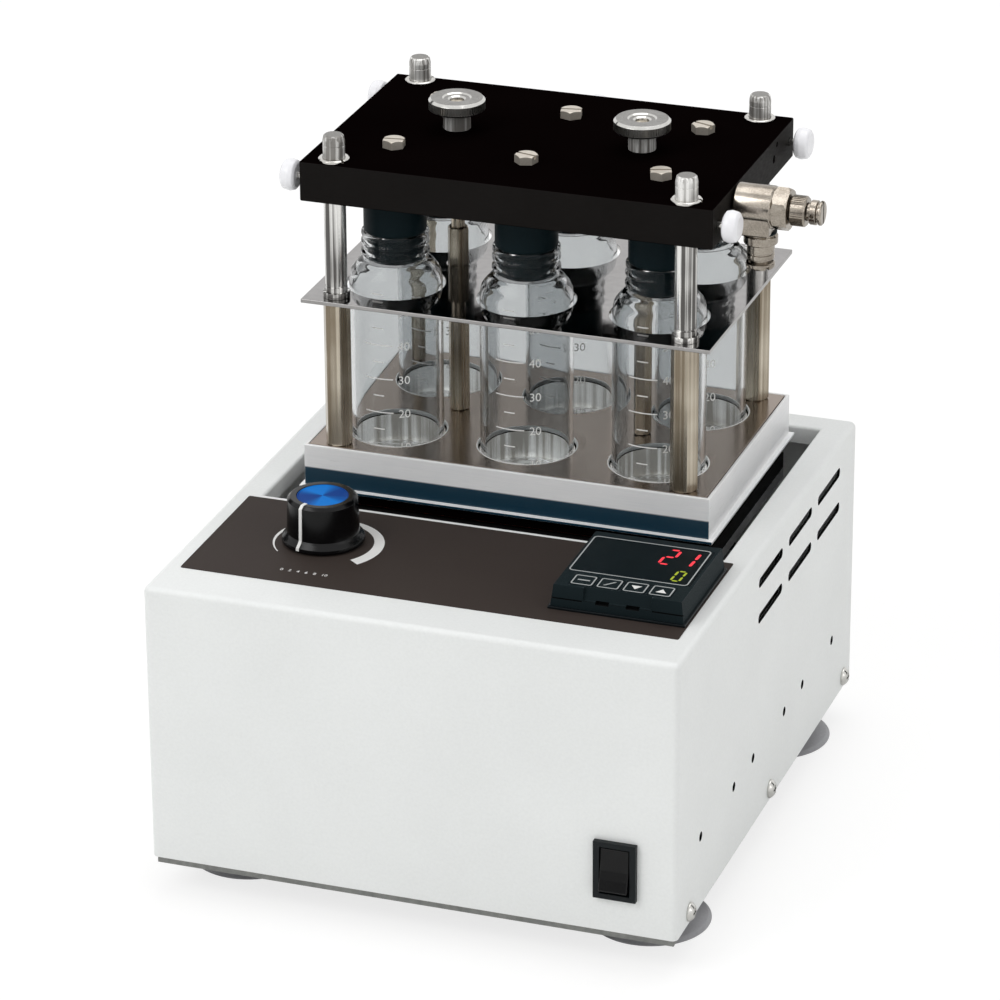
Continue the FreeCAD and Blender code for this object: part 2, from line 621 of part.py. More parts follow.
def make_deck():
    """The folded deck that carries the motor and the crank bearings above the base."""
    sheet = s.deck_sheet
    plate = block(s.deck_wide, s.deck_deep, sheet, 0, well_mid, deck_high - sheet)
    legs = [block(sheet, s.deck_deep, deck_high - base_top, (s.deck_wide / 2 - sheet / 2) * side,
                  well_mid, base_top) for side in (-1, 1)]
    toes = [block(s.toe_wide, s.deck_deep, sheet, (s.deck_wide / 2 - s.toe_wide / 2) * side, well_mid,
                  base_top) for side in (-1, 1)]
    holes = [cylinder(s.crank_shaft_radius + s.bearing_wall, 20, 0, well_mid, deck_high - 10),
             cylinder(s.motor_boss + s.disc_play, 20, -s.pulley_gap, well_mid, deck_high - 10)]
    holes += [cylinder(s.idler_shaft_radius + s.bearing_wall, 20, x, y, deck_high - 10)
              for _, x, y in idler_places()]
    keep(carve(join(plate, *legs, *toes), *holes), "mechanism_deck")


def bearing(shaft, x, y, z, tall, play):
    """A flanged plain bearing that stands in a hole with its flange on top."""
    bore = shaft + play
    wall = shaft + s.bearing_wall
    flange = wall + s.bearing_flange
    top = tall + s.bearing_flange
    profile = [(bore, 0), (wall, 0), (wall, tall), (flange, tall), (flange, top), (bore, top)]
    return turned(profile, x, y, z)


def make_crank_bearings():
    """The bearings in the deck for the drive crank and the idler cranks."""
    low = deck_high - s.bearing_tall
    main = bearing(s.crank_shaft_radius, 0, well_mid, low, s.bearing_tall, s.running_play)
    idlers = [bearing(s.idler_shaft_radius, x, y, low, s.bearing_tall, s.running_play)
              for _, x, y in idler_places()]
    keep(bundle(main, *idlers), "crank_bearings")


def pulley_rim(bore, radius):
    """Profile of a flanged pulley, from its bore below to its outer edge above."""
    high = pulley_low + s.pulley_tall
    rim = radius + s.pulley_rim
    thick = s.rim_thick
    return [
        (bore, pulley_low), (rim, pulley_low), (rim, pulley_low + thick), (radius, pulley_low + thick),
        (radius, high - thick), (rim, high - thick), (rim, high)]


def make_motor():
    """The drive motor hung below the deck, its pulley and the belt to the crank."""
    top = deck_high - s.deck_sheet
    low = base_top + s.motor_floor
    boss = s.motor_boss
    bore = s.shaft_radius + s.running_play
    boss_top = deck_high + 1.5
    profile = [
        (bore, top - 12), (bore, boss_top), (boss, boss_top), (boss, top), (s.motor_radius, top),
        (s.motor_radius, low), (0, low), (0, top - 12)]
    keep(turned(profile, -s.pulley_gap, well_mid, 0), "drive_motor")
    high = pulley_low + s.pulley_tall
    radius = s.motor_pulley_radius
    shaft = s.shaft_radius
    start = top - 11.5
    profile = [(0, start), (shaft, start)] + pulley_rim(shaft, radius) + [(0, high)]
    keep(turned(profile, -s.pulley_gap, well_mid, 0), "motor_pulley")


def make_drive_belt():
    """The flat belt that runs round the two pulleys."""
    gap = s.pulley_gap.value
    lean = math.acos((s.crank_pulley_radius.value - s.motor_pulley_radius.value) / gap)

    def loop(extra):
        big = s.crank_pulley_radius.value + extra
        small = s.motor_pulley_radius.value + extra
        across, up = math.cos(lean), math.sin(lean)
        big_up, big_down = Vector(-big * across, big * up, 0), Vector(-big * across, -big * up, 0)
        small_up = Vector(-gap - small * across, small * up, 0)
        small_down = Vector(-gap - small * across, -small * up, 0)
        return Part.Wire([
            Part.LineSegment(big_up, small_up).toShape(),
            Part.Arc(small_up, Vector(-gap - small, 0, 0), small_down).toShape(),
            Part.LineSegment(small_down, big_down).toShape(),
            Part.Arc(big_down, Vector(big, 0, 0), big_up).toShape()])

    play = s.part_play.value
    rise = Vector(0, 0, s.belt_wide.value)
    outside = Part.Face(loop(play + s.belt_thick.value)).extrude(rise)
    belt = doc.addObject("Part::Feature", "Belt")
    belt.Shape = outside.cut(Part.Face(loop(play)).extrude(rise))
    put(belt, 0, well_mid, pulley_low + (s.pulley_tall - s.belt_wide) / 2)
    keep(belt, "drive_belt")


def make_drive_crank():
    """The driven crank with its offset pin, and the pulley pressed on its shaft."""
    low = deck_high - s.bearing_tall - 1
    shaft = cylinder(s.crank_shaft_radius, disc_low - low, 0, well_mid, low)
    disc = cylinder(s.crank_disc_radius, s.disc_thick, 0, well_mid, disc_low)
    pin = cylinder(s.crank_pin_radius, pin_top - disc_low, 0, tray_mid, disc_low)
    keep(join(shaft, disc, pin), "drive_crank")
    radius = s.crank_pulley_radius
    high = pulley_low + s.pulley_tall
    bore = s.crank_shaft_radius
    keep(turned(pulley_rim(bore, radius) + [(bore, high)], 0, well_mid, 0), "crank_pulley")


def make_idler_cranks():
    """Three idler cranks that keep the tray square while it orbits."""
    low = deck_high - s.bearing_tall - 1
    for name, x, y in idler_places():
        shaft = cylinder(s.idler_shaft_radius, disc_low - low, x, y, low)
        disc = cylinder(s.idler_disc_radius, s.disc_thick, x, y, disc_low)
        pin = cylinder(s.idler_pin_radius, pin_top - disc_low, x, y + s.crank_throw, disc_low)
        keep(join(shaft, disc, pin), f"idler_crank_{name}")


# Orbiting tray

def make_platform():
    """The platform with its bearings, the insulation, the heater mat and the heat block."""
    wide = inner_tray_wide
    deep = inner_tray_deep
    keep(block(wide, deep, s.platform_thick, 0, tray_mid, platform_low), "platform_plate")
    low = platform_low - s.bearing_tall
    places = [(s.crank_pin_radius, s.running_play, as_size(0), tray_mid)]
    places += [(s.idler_pin_radius, s.idler_pin_play, x, y + s.crank_throw) for _, x, y in idler_places()]
    cups = []
    for pin, play, x, y in places:
        bore = pin + play
        wall = pin + s.bearing_wall
        profile = [
            (bore, 0), (wall, 0), (wall, s.bearing_tall), (0, s.bearing_tall),
            (0, s.bearing_tall - 0.5), (bore, s.bearing_tall - 0.5)]
        cups.append(turned(profile, x, y, low))
    keep(bundle(*cups), "platform_bearings")
    keep(block(wide, deep, s.insulation_thick, 0, tray_mid, insulation_low), "insulation_board")
    keep(block(wide - s.heater_inset * 2, deep - s.heater_inset * 2, s.heater_thick, 0, tray_mid,
               heater_low), "heater_mat")
    bores = [cylinder(s.vial_radius + s.part_play, s.block_thick, x, y, vial_low - s.part_play)
             for _, x, y in vial_places()]
    keep(carve(block(wide, deep, s.block_thick, 0, tray_mid, block_low), *bores), "heat_block")


def make_tray_skirt():
    """The bright skirt round the heat block, with the lip at its lower edge."""
    low = panel_top - s.lip_drop - s.skirt_sheet
    tall = tray_top - low
    wall = block(tray_wide, tray_deep, tall, 0, tray_mid, low)
    lip = block(tray_wide + s.lip_wide * 2, tray_deep + s.lip_wide * 2, s.skirt_sheet, 0, tray_mid, low)
    inside = block(tray_wide - s.skirt_sheet * 2, tray_deep - s.skirt_sheet * 2, tall * 2, 0, tray_mid,
                   low - 5)
    keep(carve(join(wall, lip), inside), "tray_skirt")


def make_top_plate():
    """The brushed plate on the heat block, with a hole for each vial."""
    plate = block(inner_tray_wide, inner_tray_deep, s.plate_thick, 0, tray_mid, block_top)
    holes = [cylinder(hole_radius, s.plate_thick * 3, x, y, block_top - s.plate_thick)
             for _, x, y in vial_places()]
    keep(carve(plate, *holes), "top_plate")


def hex_bar(across, tall, x, y, z):
    """A hexagonal standoff with chamfered ends."""
    corner = across / math.sqrt(3)
    cut = s.post_chamfer
    profile = [
        (0, 0), (corner - cut, 0), (corner, cut), (corner, tall - cut), (corner - cut, tall), (0, tall)]
    bar = doc.addObject("Part::MultiCommon", "Bar")
    bar.Shapes = [hexagon(across, tall, x, y, z), turned(profile, x, y, z)]
    return bar


def make_rack():
    """The posts, the mirror-bright shelf that steadies the vials, and the guide rods on it."""
    keep(bundle(*[hex_bar(s.post_across, shelf_low - tray_top, x, y, tray_top)
                  for _, x, y in rod_places()]), "corner_posts")
    post_tall = shelf_top + s.centre_above - tray_top
    stud_low = tray_top + post_tall - 6
    stud_tall = manifold_top + s.nut_tall - 1.5 - stud_low
    posts = []
    for side in (-1, 1):
        x = centre_spread / 2 * side
        posts.append(join(hex_bar(s.centre_across, post_tall, x, tray_mid, tray_top),
                          cylinder(s.stud_radius, stud_tall, x, tray_mid, stud_low)))
    keep(bundle(*posts), "centre_posts")
    shelf = block(tray_wide - s.shelf_inset * 2, tray_deep + s.shelf_over * 2, s.plate_thick, 0, tray_mid,
                  shelf_low)
    holes = [cylinder(hole_radius, s.plate_thick * 3, x, y, shelf_low - s.plate_thick)
             for _, x, y in vial_places()]
    holes += [cylinder(s.centre_across / math.sqrt(3) + s.part_play, s.plate_thick * 3,
                       centre_spread / 2 * side, tray_mid, shelf_low - s.plate_thick) for side in (-1, 1)]
    keep(carve(shelf, *holes), "shelf_plate")
    radius = s.rod_radius
    collar = radius + s.rod_collar
    groove = radius - s.rod_groove
    tall = manifold_top + s.rod_above - shelf_top
    profile = [
        (0, 0), (collar, 0), (collar, 2.2), (radius, 2.2), (radius, 4.2), (groove, 4.2), (groove, 4.8),
        (radius, 4.8), (radius, tall - 2.2), (radius - 0.35, tall - 0.5), (radius - 0.9, tall),
        (0, tall)]
    keep(bundle(*[turned(profile, x, y, shelf_top) for _, x, y in rod_places()]), "guide_rods")


def make_vials():
    """Six glass vials with a rounded shoulder and a threaded neck."""
    body = s.vial_radius
    wall = s.vial_wall
    rim = s.vial_tall
    neck_low = rim - s.neck_tall
    side_top = neck_low - s.shoulder_tall
    neck = s.neck_radius
    bore = s.neck_bore
    profile = [
        (0, 0.8), (body * 0.7, 0.5), (body - 2.4, 0), (body - 0.8, 0.7), (body, 2.6),
        (body, side_top + 1), (body - 0.5, side_top + 3.6), (body - 1.9, side_top + 6.2),
        (neck + 0.5, neck_low - 0.4), (neck - 0.5, neck_low + 0.8), (neck - 0.5, neck_low + 2),
        (neck + 0.3, neck_low + 2.8), (neck + 0.3, neck_low + 3.8), (neck - 0.4, neck_low + 4.6),
        (neck - 0.4, rim - 2.6), (neck + 0.2, rim - 1.8), (neck + 0.2, rim - 0.5), (neck - 0.3, rim),
        (bore + 0.3, rim), (bore, rim - 0.4), (bore, neck_low), (body - wall - 1.4, side_top + 5.2),
        (body - wall, side_top + 1), (body - wall, 4.4), (body - wall - 1.6, 2.8), (0, 2.6)]
    for name, x, y in vial_places():
        keep(turned(profile, x, y, vial_low), f"vial_{name}")


# Gas manifold

def make_manifold():
    """The black manifold bar with its gas channels, and what is fixed to it."""
    plate = pressed(rectangle(manifold_wide, manifold_deep), s.manifold_thick, 0, tray_mid, manifold_low)
    half_wide = manifold_wide.value / 2
    half_deep = manifold_deep.value / 2
    round_edges(plate, 0.6, lambda p: abs(abs(p.x) - half_wide) < 0.01 or abs(abs(p.y) - half_deep) < 0.01)
    through = s.manifold_thick * 2
    below = manifold_low - s.manifold_thick / 2
    tools = []
    for _, x, y in rod_places():
        side = 1 if x.value > 0 else -1
        tools.append(cylinder(s.rod_radius + s.part_play, through, x, y, below))
        tools.append(cylinder(bush_radius, s.bush_tall * 2, x, y, manifold_top - s.bush_tall))
        tools.append(cylinder(s.thumb_stud_radius + s.running_play, manifold_side - rod_spread_x / 2 + 1,
                              (manifold_side + 1) * side, y, manifold_mid_z, "left" if side > 0 else "right"))
    for side in (-1, 1):
        tools.append(cylinder(s.stud_radius + s.part_play, through, centre_spread / 2 * side, tray_mid,
                              below))
    tools += [cylinder(s.nozzle_radius + s.running_play, through, x, y, below) for _, x, y in vial_places()]
    tools.append(cylinder(s.spigot_radius + s.running_play, s.spigot_long + 1, manifold_side + 1, valve_y,
                          manifold_mid_z, "left"))
    tools.append(cylinder(s.channel_radius, manifold_wide / 2 + vial_pitch_x, manifold_side - 6, valve_y,
                          manifold_mid_z, "left"))
    tools.append(cylinder(s.thumb_stud_radius + s.running_play, 9, 0, tray_mid + manifold_deep / 2 + 1,
                          manifold_mid_z, "front"))
    rear_row = tray_mid + vial_pitch_y / 2
    tools.append(cylinder(1.5, 6, manifold_side + 1, rear_row, manifold_mid_z, "left"))
    tools.append(cylinder(1, 6, manifold_side + 1, rear_row + 3.6, manifold_mid_z + 4.4, "left"))
    keep(carve(plate, *tools), "manifold_block")
    bore = s.rod_radius + s.running_play
    flange = bush_radius + s.bush_lip
    profile = [
        (bore, 0), (bush_radius, 0), (bush_radius, s.bush_tall), (flange, s.bush_tall),
        (flange, s.bush_tall + s.bush_flange_tall * 0.6),
        (flange - 0.5, s.bush_tall + s.bush_flange_tall), (bore, s.bush_tall + s.bush_flange_tall)]
    keep(bundle(*[turned(profile, x, y, manifold_top - s.bush_tall) for _, x, y in rod_places()]),
         "rod_bushings")


def make_stoppers():
    """The black stoppers under the manifold and the slotted screws that hold them."""
    screw_deep = s.nozzle_deep
    seat = vial_top + s.part_play
    plug = s.neck_bore - s.plug_play
    profile = [
        (0, vial_top - s.plug_depth), (plug - 1.1, vial_top - s.plug_depth),
        (plug - 0.5, vial_top - s.plug_depth + 1), (plug, seat), (s.stopper_radius, seat),
        (s.stopper_radius, manifold_low), (s.nozzle_radius, manifold_low),
        (s.nozzle_radius, manifold_low - screw_deep), (0, manifold_low - screw_deep)]
    keep(bundle(*[turned(profile, x, y, 0) for _, x, y in vial_places()]), "stoppers")
    screws = []
    for _, x, y in vial_places():
        shank = cylinder(s.nozzle_radius, s.manifold_thick + screw_deep - 0.5, x, y,
                         manifold_low - screw_deep + 0.5)
        slot = block(s.nozzle_across * 2, 1.1, 4, x, y, manifold_top + s.nozzle_head - 1.2)
        screws.append(carve(join(hexagon(s.nozzle_across, s.nozzle_head, x, y, manifold_top), shank), slot))
    keep(bundle(*screws), "nozzle_screws")


def make_clamp_nuts():
    """Two knurled nuts that screw down on the centre studs."""
    bore = s.stud_radius + s.running_play
    hub = s.nut_hub_radius
    disc = s.nut_radius
    tall = s.nut_tall
    low = tall - s.nut_disc
    profile = [
        (bore, 0.3), (hub, 0.3), (hub, low), (disc - 0.8, low), (disc, low + 0.8), (disc, tall - 0.8),
        (disc - 0.8, tall), (hub, tall), (hub - 0.5, tall - 0.5), (bore, tall - 0.5)]
    for name, side in (("left", -1), ("right", 1)):
        keep(turned(profile, centre_spread / 2 * side, tray_mid, manifold_top), f"clamp_nut_{name}")


def thumb_profile(reach):
    """Profile of a plastic-headed screw: head outwards, stud inwards by reach."""
    head = s.thumb_radius
    start = s.thumb_gap
    end = s.thumb_gap + s.thumb_long
    stud = s.thumb_stud_radius
    return [
        (0, -reach), (stud, -reach), (stud, start), (head - 1.4, start), (head - 0.3, start + 1),
        (head, start + 3.4), (head - 0.7, end - 0.8), (head - 1.8, end), (0, end)]


def make_thumb_screws():
    """White-headed screws that lock the manifold to its guide rods, and one in the rear port."""
    reach = manifold_side - rod_spread_x / 2 - s.rod_radius - s.part_play
    for name, x, y in rod_places():
        side = 1 if x.value > 0 else -1
        facing = "right" if side > 0 else "left"
        keep(turned(thumb_profile(reach), manifold_side * side, y, manifold_mid_z, facing),
             f"thumb_screw_{name}")
    keep(turned(thumb_profile(as_size(7)), 0, tray_mid + manifold_deep / 2, manifold_mid_z, "back"),
         "rear_port_plug")


def make_gas_valve():
    """The gas flow valve: swivelling body, lock nut, needle screw and hose release ring."""
    gap = s.part_play
    body_start = manifold_side + gap
    hex_start = body_start + s.valve_long
    neck_start = hex_start + s.valve_hex_long
    lock_start = neck_start + gap
    lock_end = lock_start + s.lock_long
    neck = s.needle_stem + 1.6
    z = manifold_mid_z
    profile = [
        (0, -s.spigot_long), (s.spigot_radius, -s.spigot_long), (s.spigot_radius, 0),
        (s.valve_radius - 0.6, 0), (s.valve_radius, 0.6), (s.valve_radius, s.valve_long),
        (0, s.valve_long)]
    barrel = turned(profile, body_start, valve_y, z, "right")
    nut = hexagon(s.valve_hex, s.valve_hex_long, hex_start, valve_y, z, "right")
    thread = cylinder(neck, s.lock_long - 0.4, neck_start, valve_y, z, "right")
    port_x = body_start + s.port_offset
    collar_top = z - s.valve_radius - 1.8
    port_end = collar_top - s.port_long
    port_profile = [
        (0, collar_top + 6), (3.6, collar_top + 6), (3.6, collar_top),
        (s.port_collar_radius, collar_top), (s.port_collar_radius, collar_top - 3.6),
        (s.port_barrel_radius, collar_top - 4), (s.port_barrel_radius, port_end), (0, port_end)]
    port = turned(port_profile, port_x, valve_y, 0)
    tube_bore = cylinder(s.tube_radius + 0.7, 9, port_x, valve_y, port_end - 1)
    stem_bore = cylinder(s.needle_stem + s.running_play, 20, hex_start - 2, valve_y, z, "right")
    keep(carve(join(barrel, nut, thread, port), tube_bore, stem_bore), "valve_body")
    lock = [
        (neck + s.running_play, 0), (s.lock_radius - 0.5, 0), (s.lock_radius, 0.5),
        (s.lock_radius, s.lock_long - 0.5), (s.lock_radius - 0.5, s.lock_long),
        (neck + s.running_play, s.lock_long)]
    keep(turned(lock, lock_start, valve_y, z, "right"), "valve_lock_nut")
    head = s.needle_radius
    long = s.needle_long
    stem = s.needle_stem
    back = -(s.lock_long + gap + 5)
    needle = [
        (0, back), (stem * 0.4, back), (stem, back + 2), (stem, 0), (head - 1.2, 0), (head - 1.2, 1),
        (head, 1), (head, long - 1.9), (head - 0.9, long - 1.6), (head - 0.9, long - 1.3),
        (head, long - 1), (head, long - 0.3), (head - 0.4, long), (0, long)]
    turned_needle = turned(needle, lock_end + gap, valve_y, z, "right")
    slot = block(1.6, 0.9, head * 3, lock_end + gap + long - 0.5, valve_y, z - head * 1.5)
    keep(carve(turned_needle, slot), "valve_needle")
    tube = s.tube_radius
    ring_top = port_end - s.ring_travel - 0.2
    ring = [
        (tube + 0.05, ring_top - 2.2), (s.ring_radius, ring_top - 2.2), (s.ring_radius, ring_top),
        (tube + 0.6, ring_top), (tube + 0.6, ring_top + 6), (tube + 0.05, ring_top + 6)]
    keep(turned(ring, port_x, valve_y, 0), "release_ring")


def write_parts():
    """Checks every object and every sub-part, then writes one file for each sub-part."""
    doc.recompute()
    broken = [obj.Label for obj in doc.Objects if "Invalid" in obj.State or "Error" in obj.State]
    if broken:
        raise RuntimeError(f"objects that failed to build: {broken}")
    for obj in pieces:
        if obj.Shape.isNull() or not obj.Shape.isValid() or not obj.Shape.Solids:
            raise RuntimeError(f"{obj.Label} has no valid solid")
    os.makedirs("parts", exist_ok=True)
    for obj in pieces:
        obj.Shape.exportStep(f"parts/{obj.Label}.step")
        box = obj.Shape.BoundBox
        print(f"{obj.Label}: {len(obj.Shape.Solids)} solids, {obj.Shape.Volume:.0f} mm3, "
              f"x {box.XMin:.2f}..{box.XMax:.2f} y {box.YMin:.2f}..{box.YMax:.2f} "
              f"z {box.ZMin:.2f}..{box.ZMax:.2f}")


make_cover()
make_base_plate()
make_rear_panel()
make_housing_screws()
make_suction_feet()
make_panel_label()
make_controller()
make_speed_control()
make_power_switch()
make_power_inlet()
make_deck()
make_crank_bearings()
make_motor()
make_drive_belt()
make_drive_crank()
make_idler_cranks()
make_platform()
make_tray_skirt()
make_top_plate()
make_rack()
make_vials()
make_manifold()
make_stoppers()
make_clamp_nuts()
make_thumb_screws()
make_gas_valve()
write_parts()
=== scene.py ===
"""Looks of a bench heater and shaker that dries six glass vials under a gas manifold.

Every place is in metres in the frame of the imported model. +X is to the right of the front panel,
+Y to the back and +Z up from the bench.
"""
import logging
import math
from dataclasses import dataclass
from enum import Enum
from typing import Callable, Iterator, Sequence

import bpy
from mathutils import Matrix, Vector


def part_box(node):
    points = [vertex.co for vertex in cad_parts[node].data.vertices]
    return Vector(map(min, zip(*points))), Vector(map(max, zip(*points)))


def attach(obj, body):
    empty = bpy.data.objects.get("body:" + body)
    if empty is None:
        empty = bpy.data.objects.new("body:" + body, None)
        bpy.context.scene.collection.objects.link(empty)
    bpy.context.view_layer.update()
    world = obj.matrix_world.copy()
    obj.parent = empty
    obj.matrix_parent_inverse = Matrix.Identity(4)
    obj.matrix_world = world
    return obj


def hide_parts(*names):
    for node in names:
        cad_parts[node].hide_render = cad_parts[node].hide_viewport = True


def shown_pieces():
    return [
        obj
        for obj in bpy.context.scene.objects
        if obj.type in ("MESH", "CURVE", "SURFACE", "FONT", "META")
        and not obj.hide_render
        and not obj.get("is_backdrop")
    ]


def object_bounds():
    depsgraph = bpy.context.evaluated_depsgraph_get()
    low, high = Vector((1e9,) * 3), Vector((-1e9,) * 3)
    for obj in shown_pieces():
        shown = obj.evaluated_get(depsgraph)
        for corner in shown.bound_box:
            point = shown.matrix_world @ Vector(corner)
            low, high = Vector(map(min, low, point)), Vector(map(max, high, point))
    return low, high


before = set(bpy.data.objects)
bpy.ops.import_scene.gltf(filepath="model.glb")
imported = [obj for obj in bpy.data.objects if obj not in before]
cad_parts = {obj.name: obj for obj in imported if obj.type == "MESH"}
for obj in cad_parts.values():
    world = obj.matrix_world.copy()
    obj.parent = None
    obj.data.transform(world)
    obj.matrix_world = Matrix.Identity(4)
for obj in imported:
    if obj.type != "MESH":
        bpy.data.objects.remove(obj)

CAD_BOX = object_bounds()
MM = 0.001
LOG = logging.getLogger("evaporator")

Piece = bpy.types.Object
Outline = Sequence[Sequence[float]]


# Shaders

def linear(colour: str) -> tuple[float, float, float, float]:
    """Turns an sRGB hex colour to the linear values that shaders take.

    Args:
        colour: Six hex digits after a hash.

    Returns:
        Red, green, blue and an alpha of 1.
    """
    shares = [int(colour[n:n + 2], 16) / 255 for n in (1, 3, 5)]
    red, green, blue = [c / 12.92 if c <= 0.04045 else ((c + 0.055) / 1.055) ** 2.4 for c in shares]
    return red, green, blue, 1.0


def add_node(tree: bpy.types.NodeTree, kind: str, settings: dict | None = None,
             links: dict | None = None) -> bpy.types.Node:
    """Adds a shader node with its settings and links.

    Args:
        tree: The node tree that takes it.
        kind: The node's type.
        settings: Values of inputs, by name or number, and of the node's own properties.
        links: Output sockets of other nodes, by the name or number of the input they feed.

    Returns:
        The new node.
    """
    node = tree.nodes.new(kind)
    for key, value in (settings or {}).items():
        if isinstance(key, int) or key in node.inputs:
            node.inputs[key].default_value = value
        else:
            setattr(node, key, value)
    for key, socket in (links or {}).items():
        tree.links.new(socket, node.inputs[key])
    return node


@dataclass(frozen=True)
class Finish:
    """A surface finish: two close colours mixed by a grain, with relief and uneven gloss.

    Sizes are in millimetres. The grain is the width of the finest mark that shows, the drift the width
    of the slow changes, and stretch draws the grain out along an axis, as brushing does. The smaller
    soft is, the harder one colour turns to the other.
    """

    name: str
    colour: str
    tint: str
    grain: float = 1.0
    drift: float = 30.0
    stretch: tuple[float, float, float] = (1.0, 1.0, 1.0)
    roughness: float = 0.5
    spread: float = 0.08
    relief: float = 0.02
    metallic: float = 0.0
    level: float = 0.5
    soft: float = 0.3

    def settings(self) -> dict:
        """Values on the shader's own sockets."""
        return {"Metallic": self.metallic, "Specular IOR Level": self.level}

    def material(self) -> bpy.types.Material:
        """Makes the material, or finds it when it is already made.

        Returns:
            The material that carries this finish.
        """
        found = bpy.data.materials.get(self.name)
        if found:
            return found
        made = bpy.data.materials.new(self.name)
        made.use_nodes = True
        made.diffuse_color = linear(self.colour)
        tree = made.node_tree
        tree.nodes.clear()
        output = add_node(tree, "ShaderNodeOutputMaterial")
        shader = add_node(tree, "ShaderNodeBsdfPrincipled", self.settings())
        tree.links.new(shader.outputs[0], output.inputs["Surface"])
        self.texture(tree, shader)
        return made

    def noise(self, tree: bpy.types.NodeTree, width: float, stretch: Sequence[float]) -> bpy.types.Node:
        """Adds a noise on the piece's own coordinates.

        Args:
            tree: The node tree that takes it.
            width: The size of its marks in millimetres.
            stretch: How far the marks are drawn out along each axis.

        Returns:
            The noise node.
        """
        place = add_node(tree, "ShaderNodeTexCoord")
        scale = [1 / factor for factor in stretch]
        drawn = add_node(tree, "ShaderNodeMapping", {"Scale": scale}, {"Vector": place.outputs["Object"]})
        return add_node(tree, "ShaderNodeTexNoise", {"Scale": 1 / (width * MM), "Detail": 3.0},
                        {"Vector": drawn.outputs[0]})

    def texture(self, tree: bpy.types.NodeTree, shader: bpy.types.Node) -> None:
        """Feeds the shader its colour, gloss and relief.

        Args:
            tree: The material's node tree.
            shader: The Principled node.
        """
        grain = self.noise(tree, self.grain, self.stretch)
        drift = self.noise(tree, self.drift, (1.0, 1.0, 1.0))
        share = add_node(tree, "ShaderNodeMath", {"operation": "ADD"},
                         {0: grain.outputs[0], 1: drift.outputs[0]})
        share = add_node(tree, "ShaderNodeMapRange", {"From Min": 1 - self.soft, "From Max": 1 + self.soft},
                         {"Value": share.outputs[0]})
        colour = add_node(tree, "ShaderNodeMix",
                          {"data_type": "RGBA", 6: linear(self.colour), 7: linear(self.tint)},
                          {0: share.outputs[0]})
        gloss = add_node(tree, "ShaderNodeMapRange",
                         {"From Min": 0.3, "From Max": 0.7, "To Min": max(self.roughness - self.spread, 0.02),
                          "To Max": self.roughness + self.spread}, {"Value": grain.outputs[0]})
        bump = add_node(tree, "ShaderNodeBump", {"Strength": 1.0, "Distance": self.relief * MM},
                        {"Height": grain.outputs[0]})
        tree.links.new(colour.outputs[2], shader.inputs["Base Color"])
        tree.links.new(gloss.outputs[0], shader.inputs["Roughness"])
        tree.links.new(bump.outputs[0], shader.inputs["Normal"])


@dataclass(frozen=True)
class ClearGlass(Finish):
    """Clear borosilicate tube glass that lets lamps through to what stands in it."""

    sheen: str = "#9A9A9A"

    def settings(self) -> dict:
        """Values on the shader's own sockets."""
        return {"Base Color": linear(self.colour), "Roughness": 0.0, "IOR": 1.36,
                "Transmission Weight": 1.0, "Specular Tint": linear(self.sheen)}

    def texture(self, tree: bpy.types.NodeTree, shader: bpy.types.Node) -> None:
        """Adds the slow waves of drawn glass, and lets lamp light pass.

        Args:
            tree: The material's node tree.
            shader: The Principled node.
        """
        waves = self.noise(tree, self.grain, self.stretch)
        bump = add_node(tree, "ShaderNodeBump", {"Strength": 1.0, "Distance": self.relief * MM},
                        {"Height": waves.outputs[0]})
        tree.links.new(bump.outputs[0], shader.inputs["Normal"])
        path = add_node(tree, "ShaderNodeLightPath")
        clear = add_node(tree, "ShaderNodeBsdfTransparent", {"Color": linear(self.tint)})
        mixed = add_node(tree, "ShaderNodeMixShader", {},
                         {0: path.outputs["Is Shadow Ray"], 1: shader.outputs[0], 2: clear.outputs[0]})
        output = next(node for node in tree.nodes if node.type == "OUTPUT_MATERIAL")
        tree.links.new(mixed.outputs[0], output.inputs["Surface"])


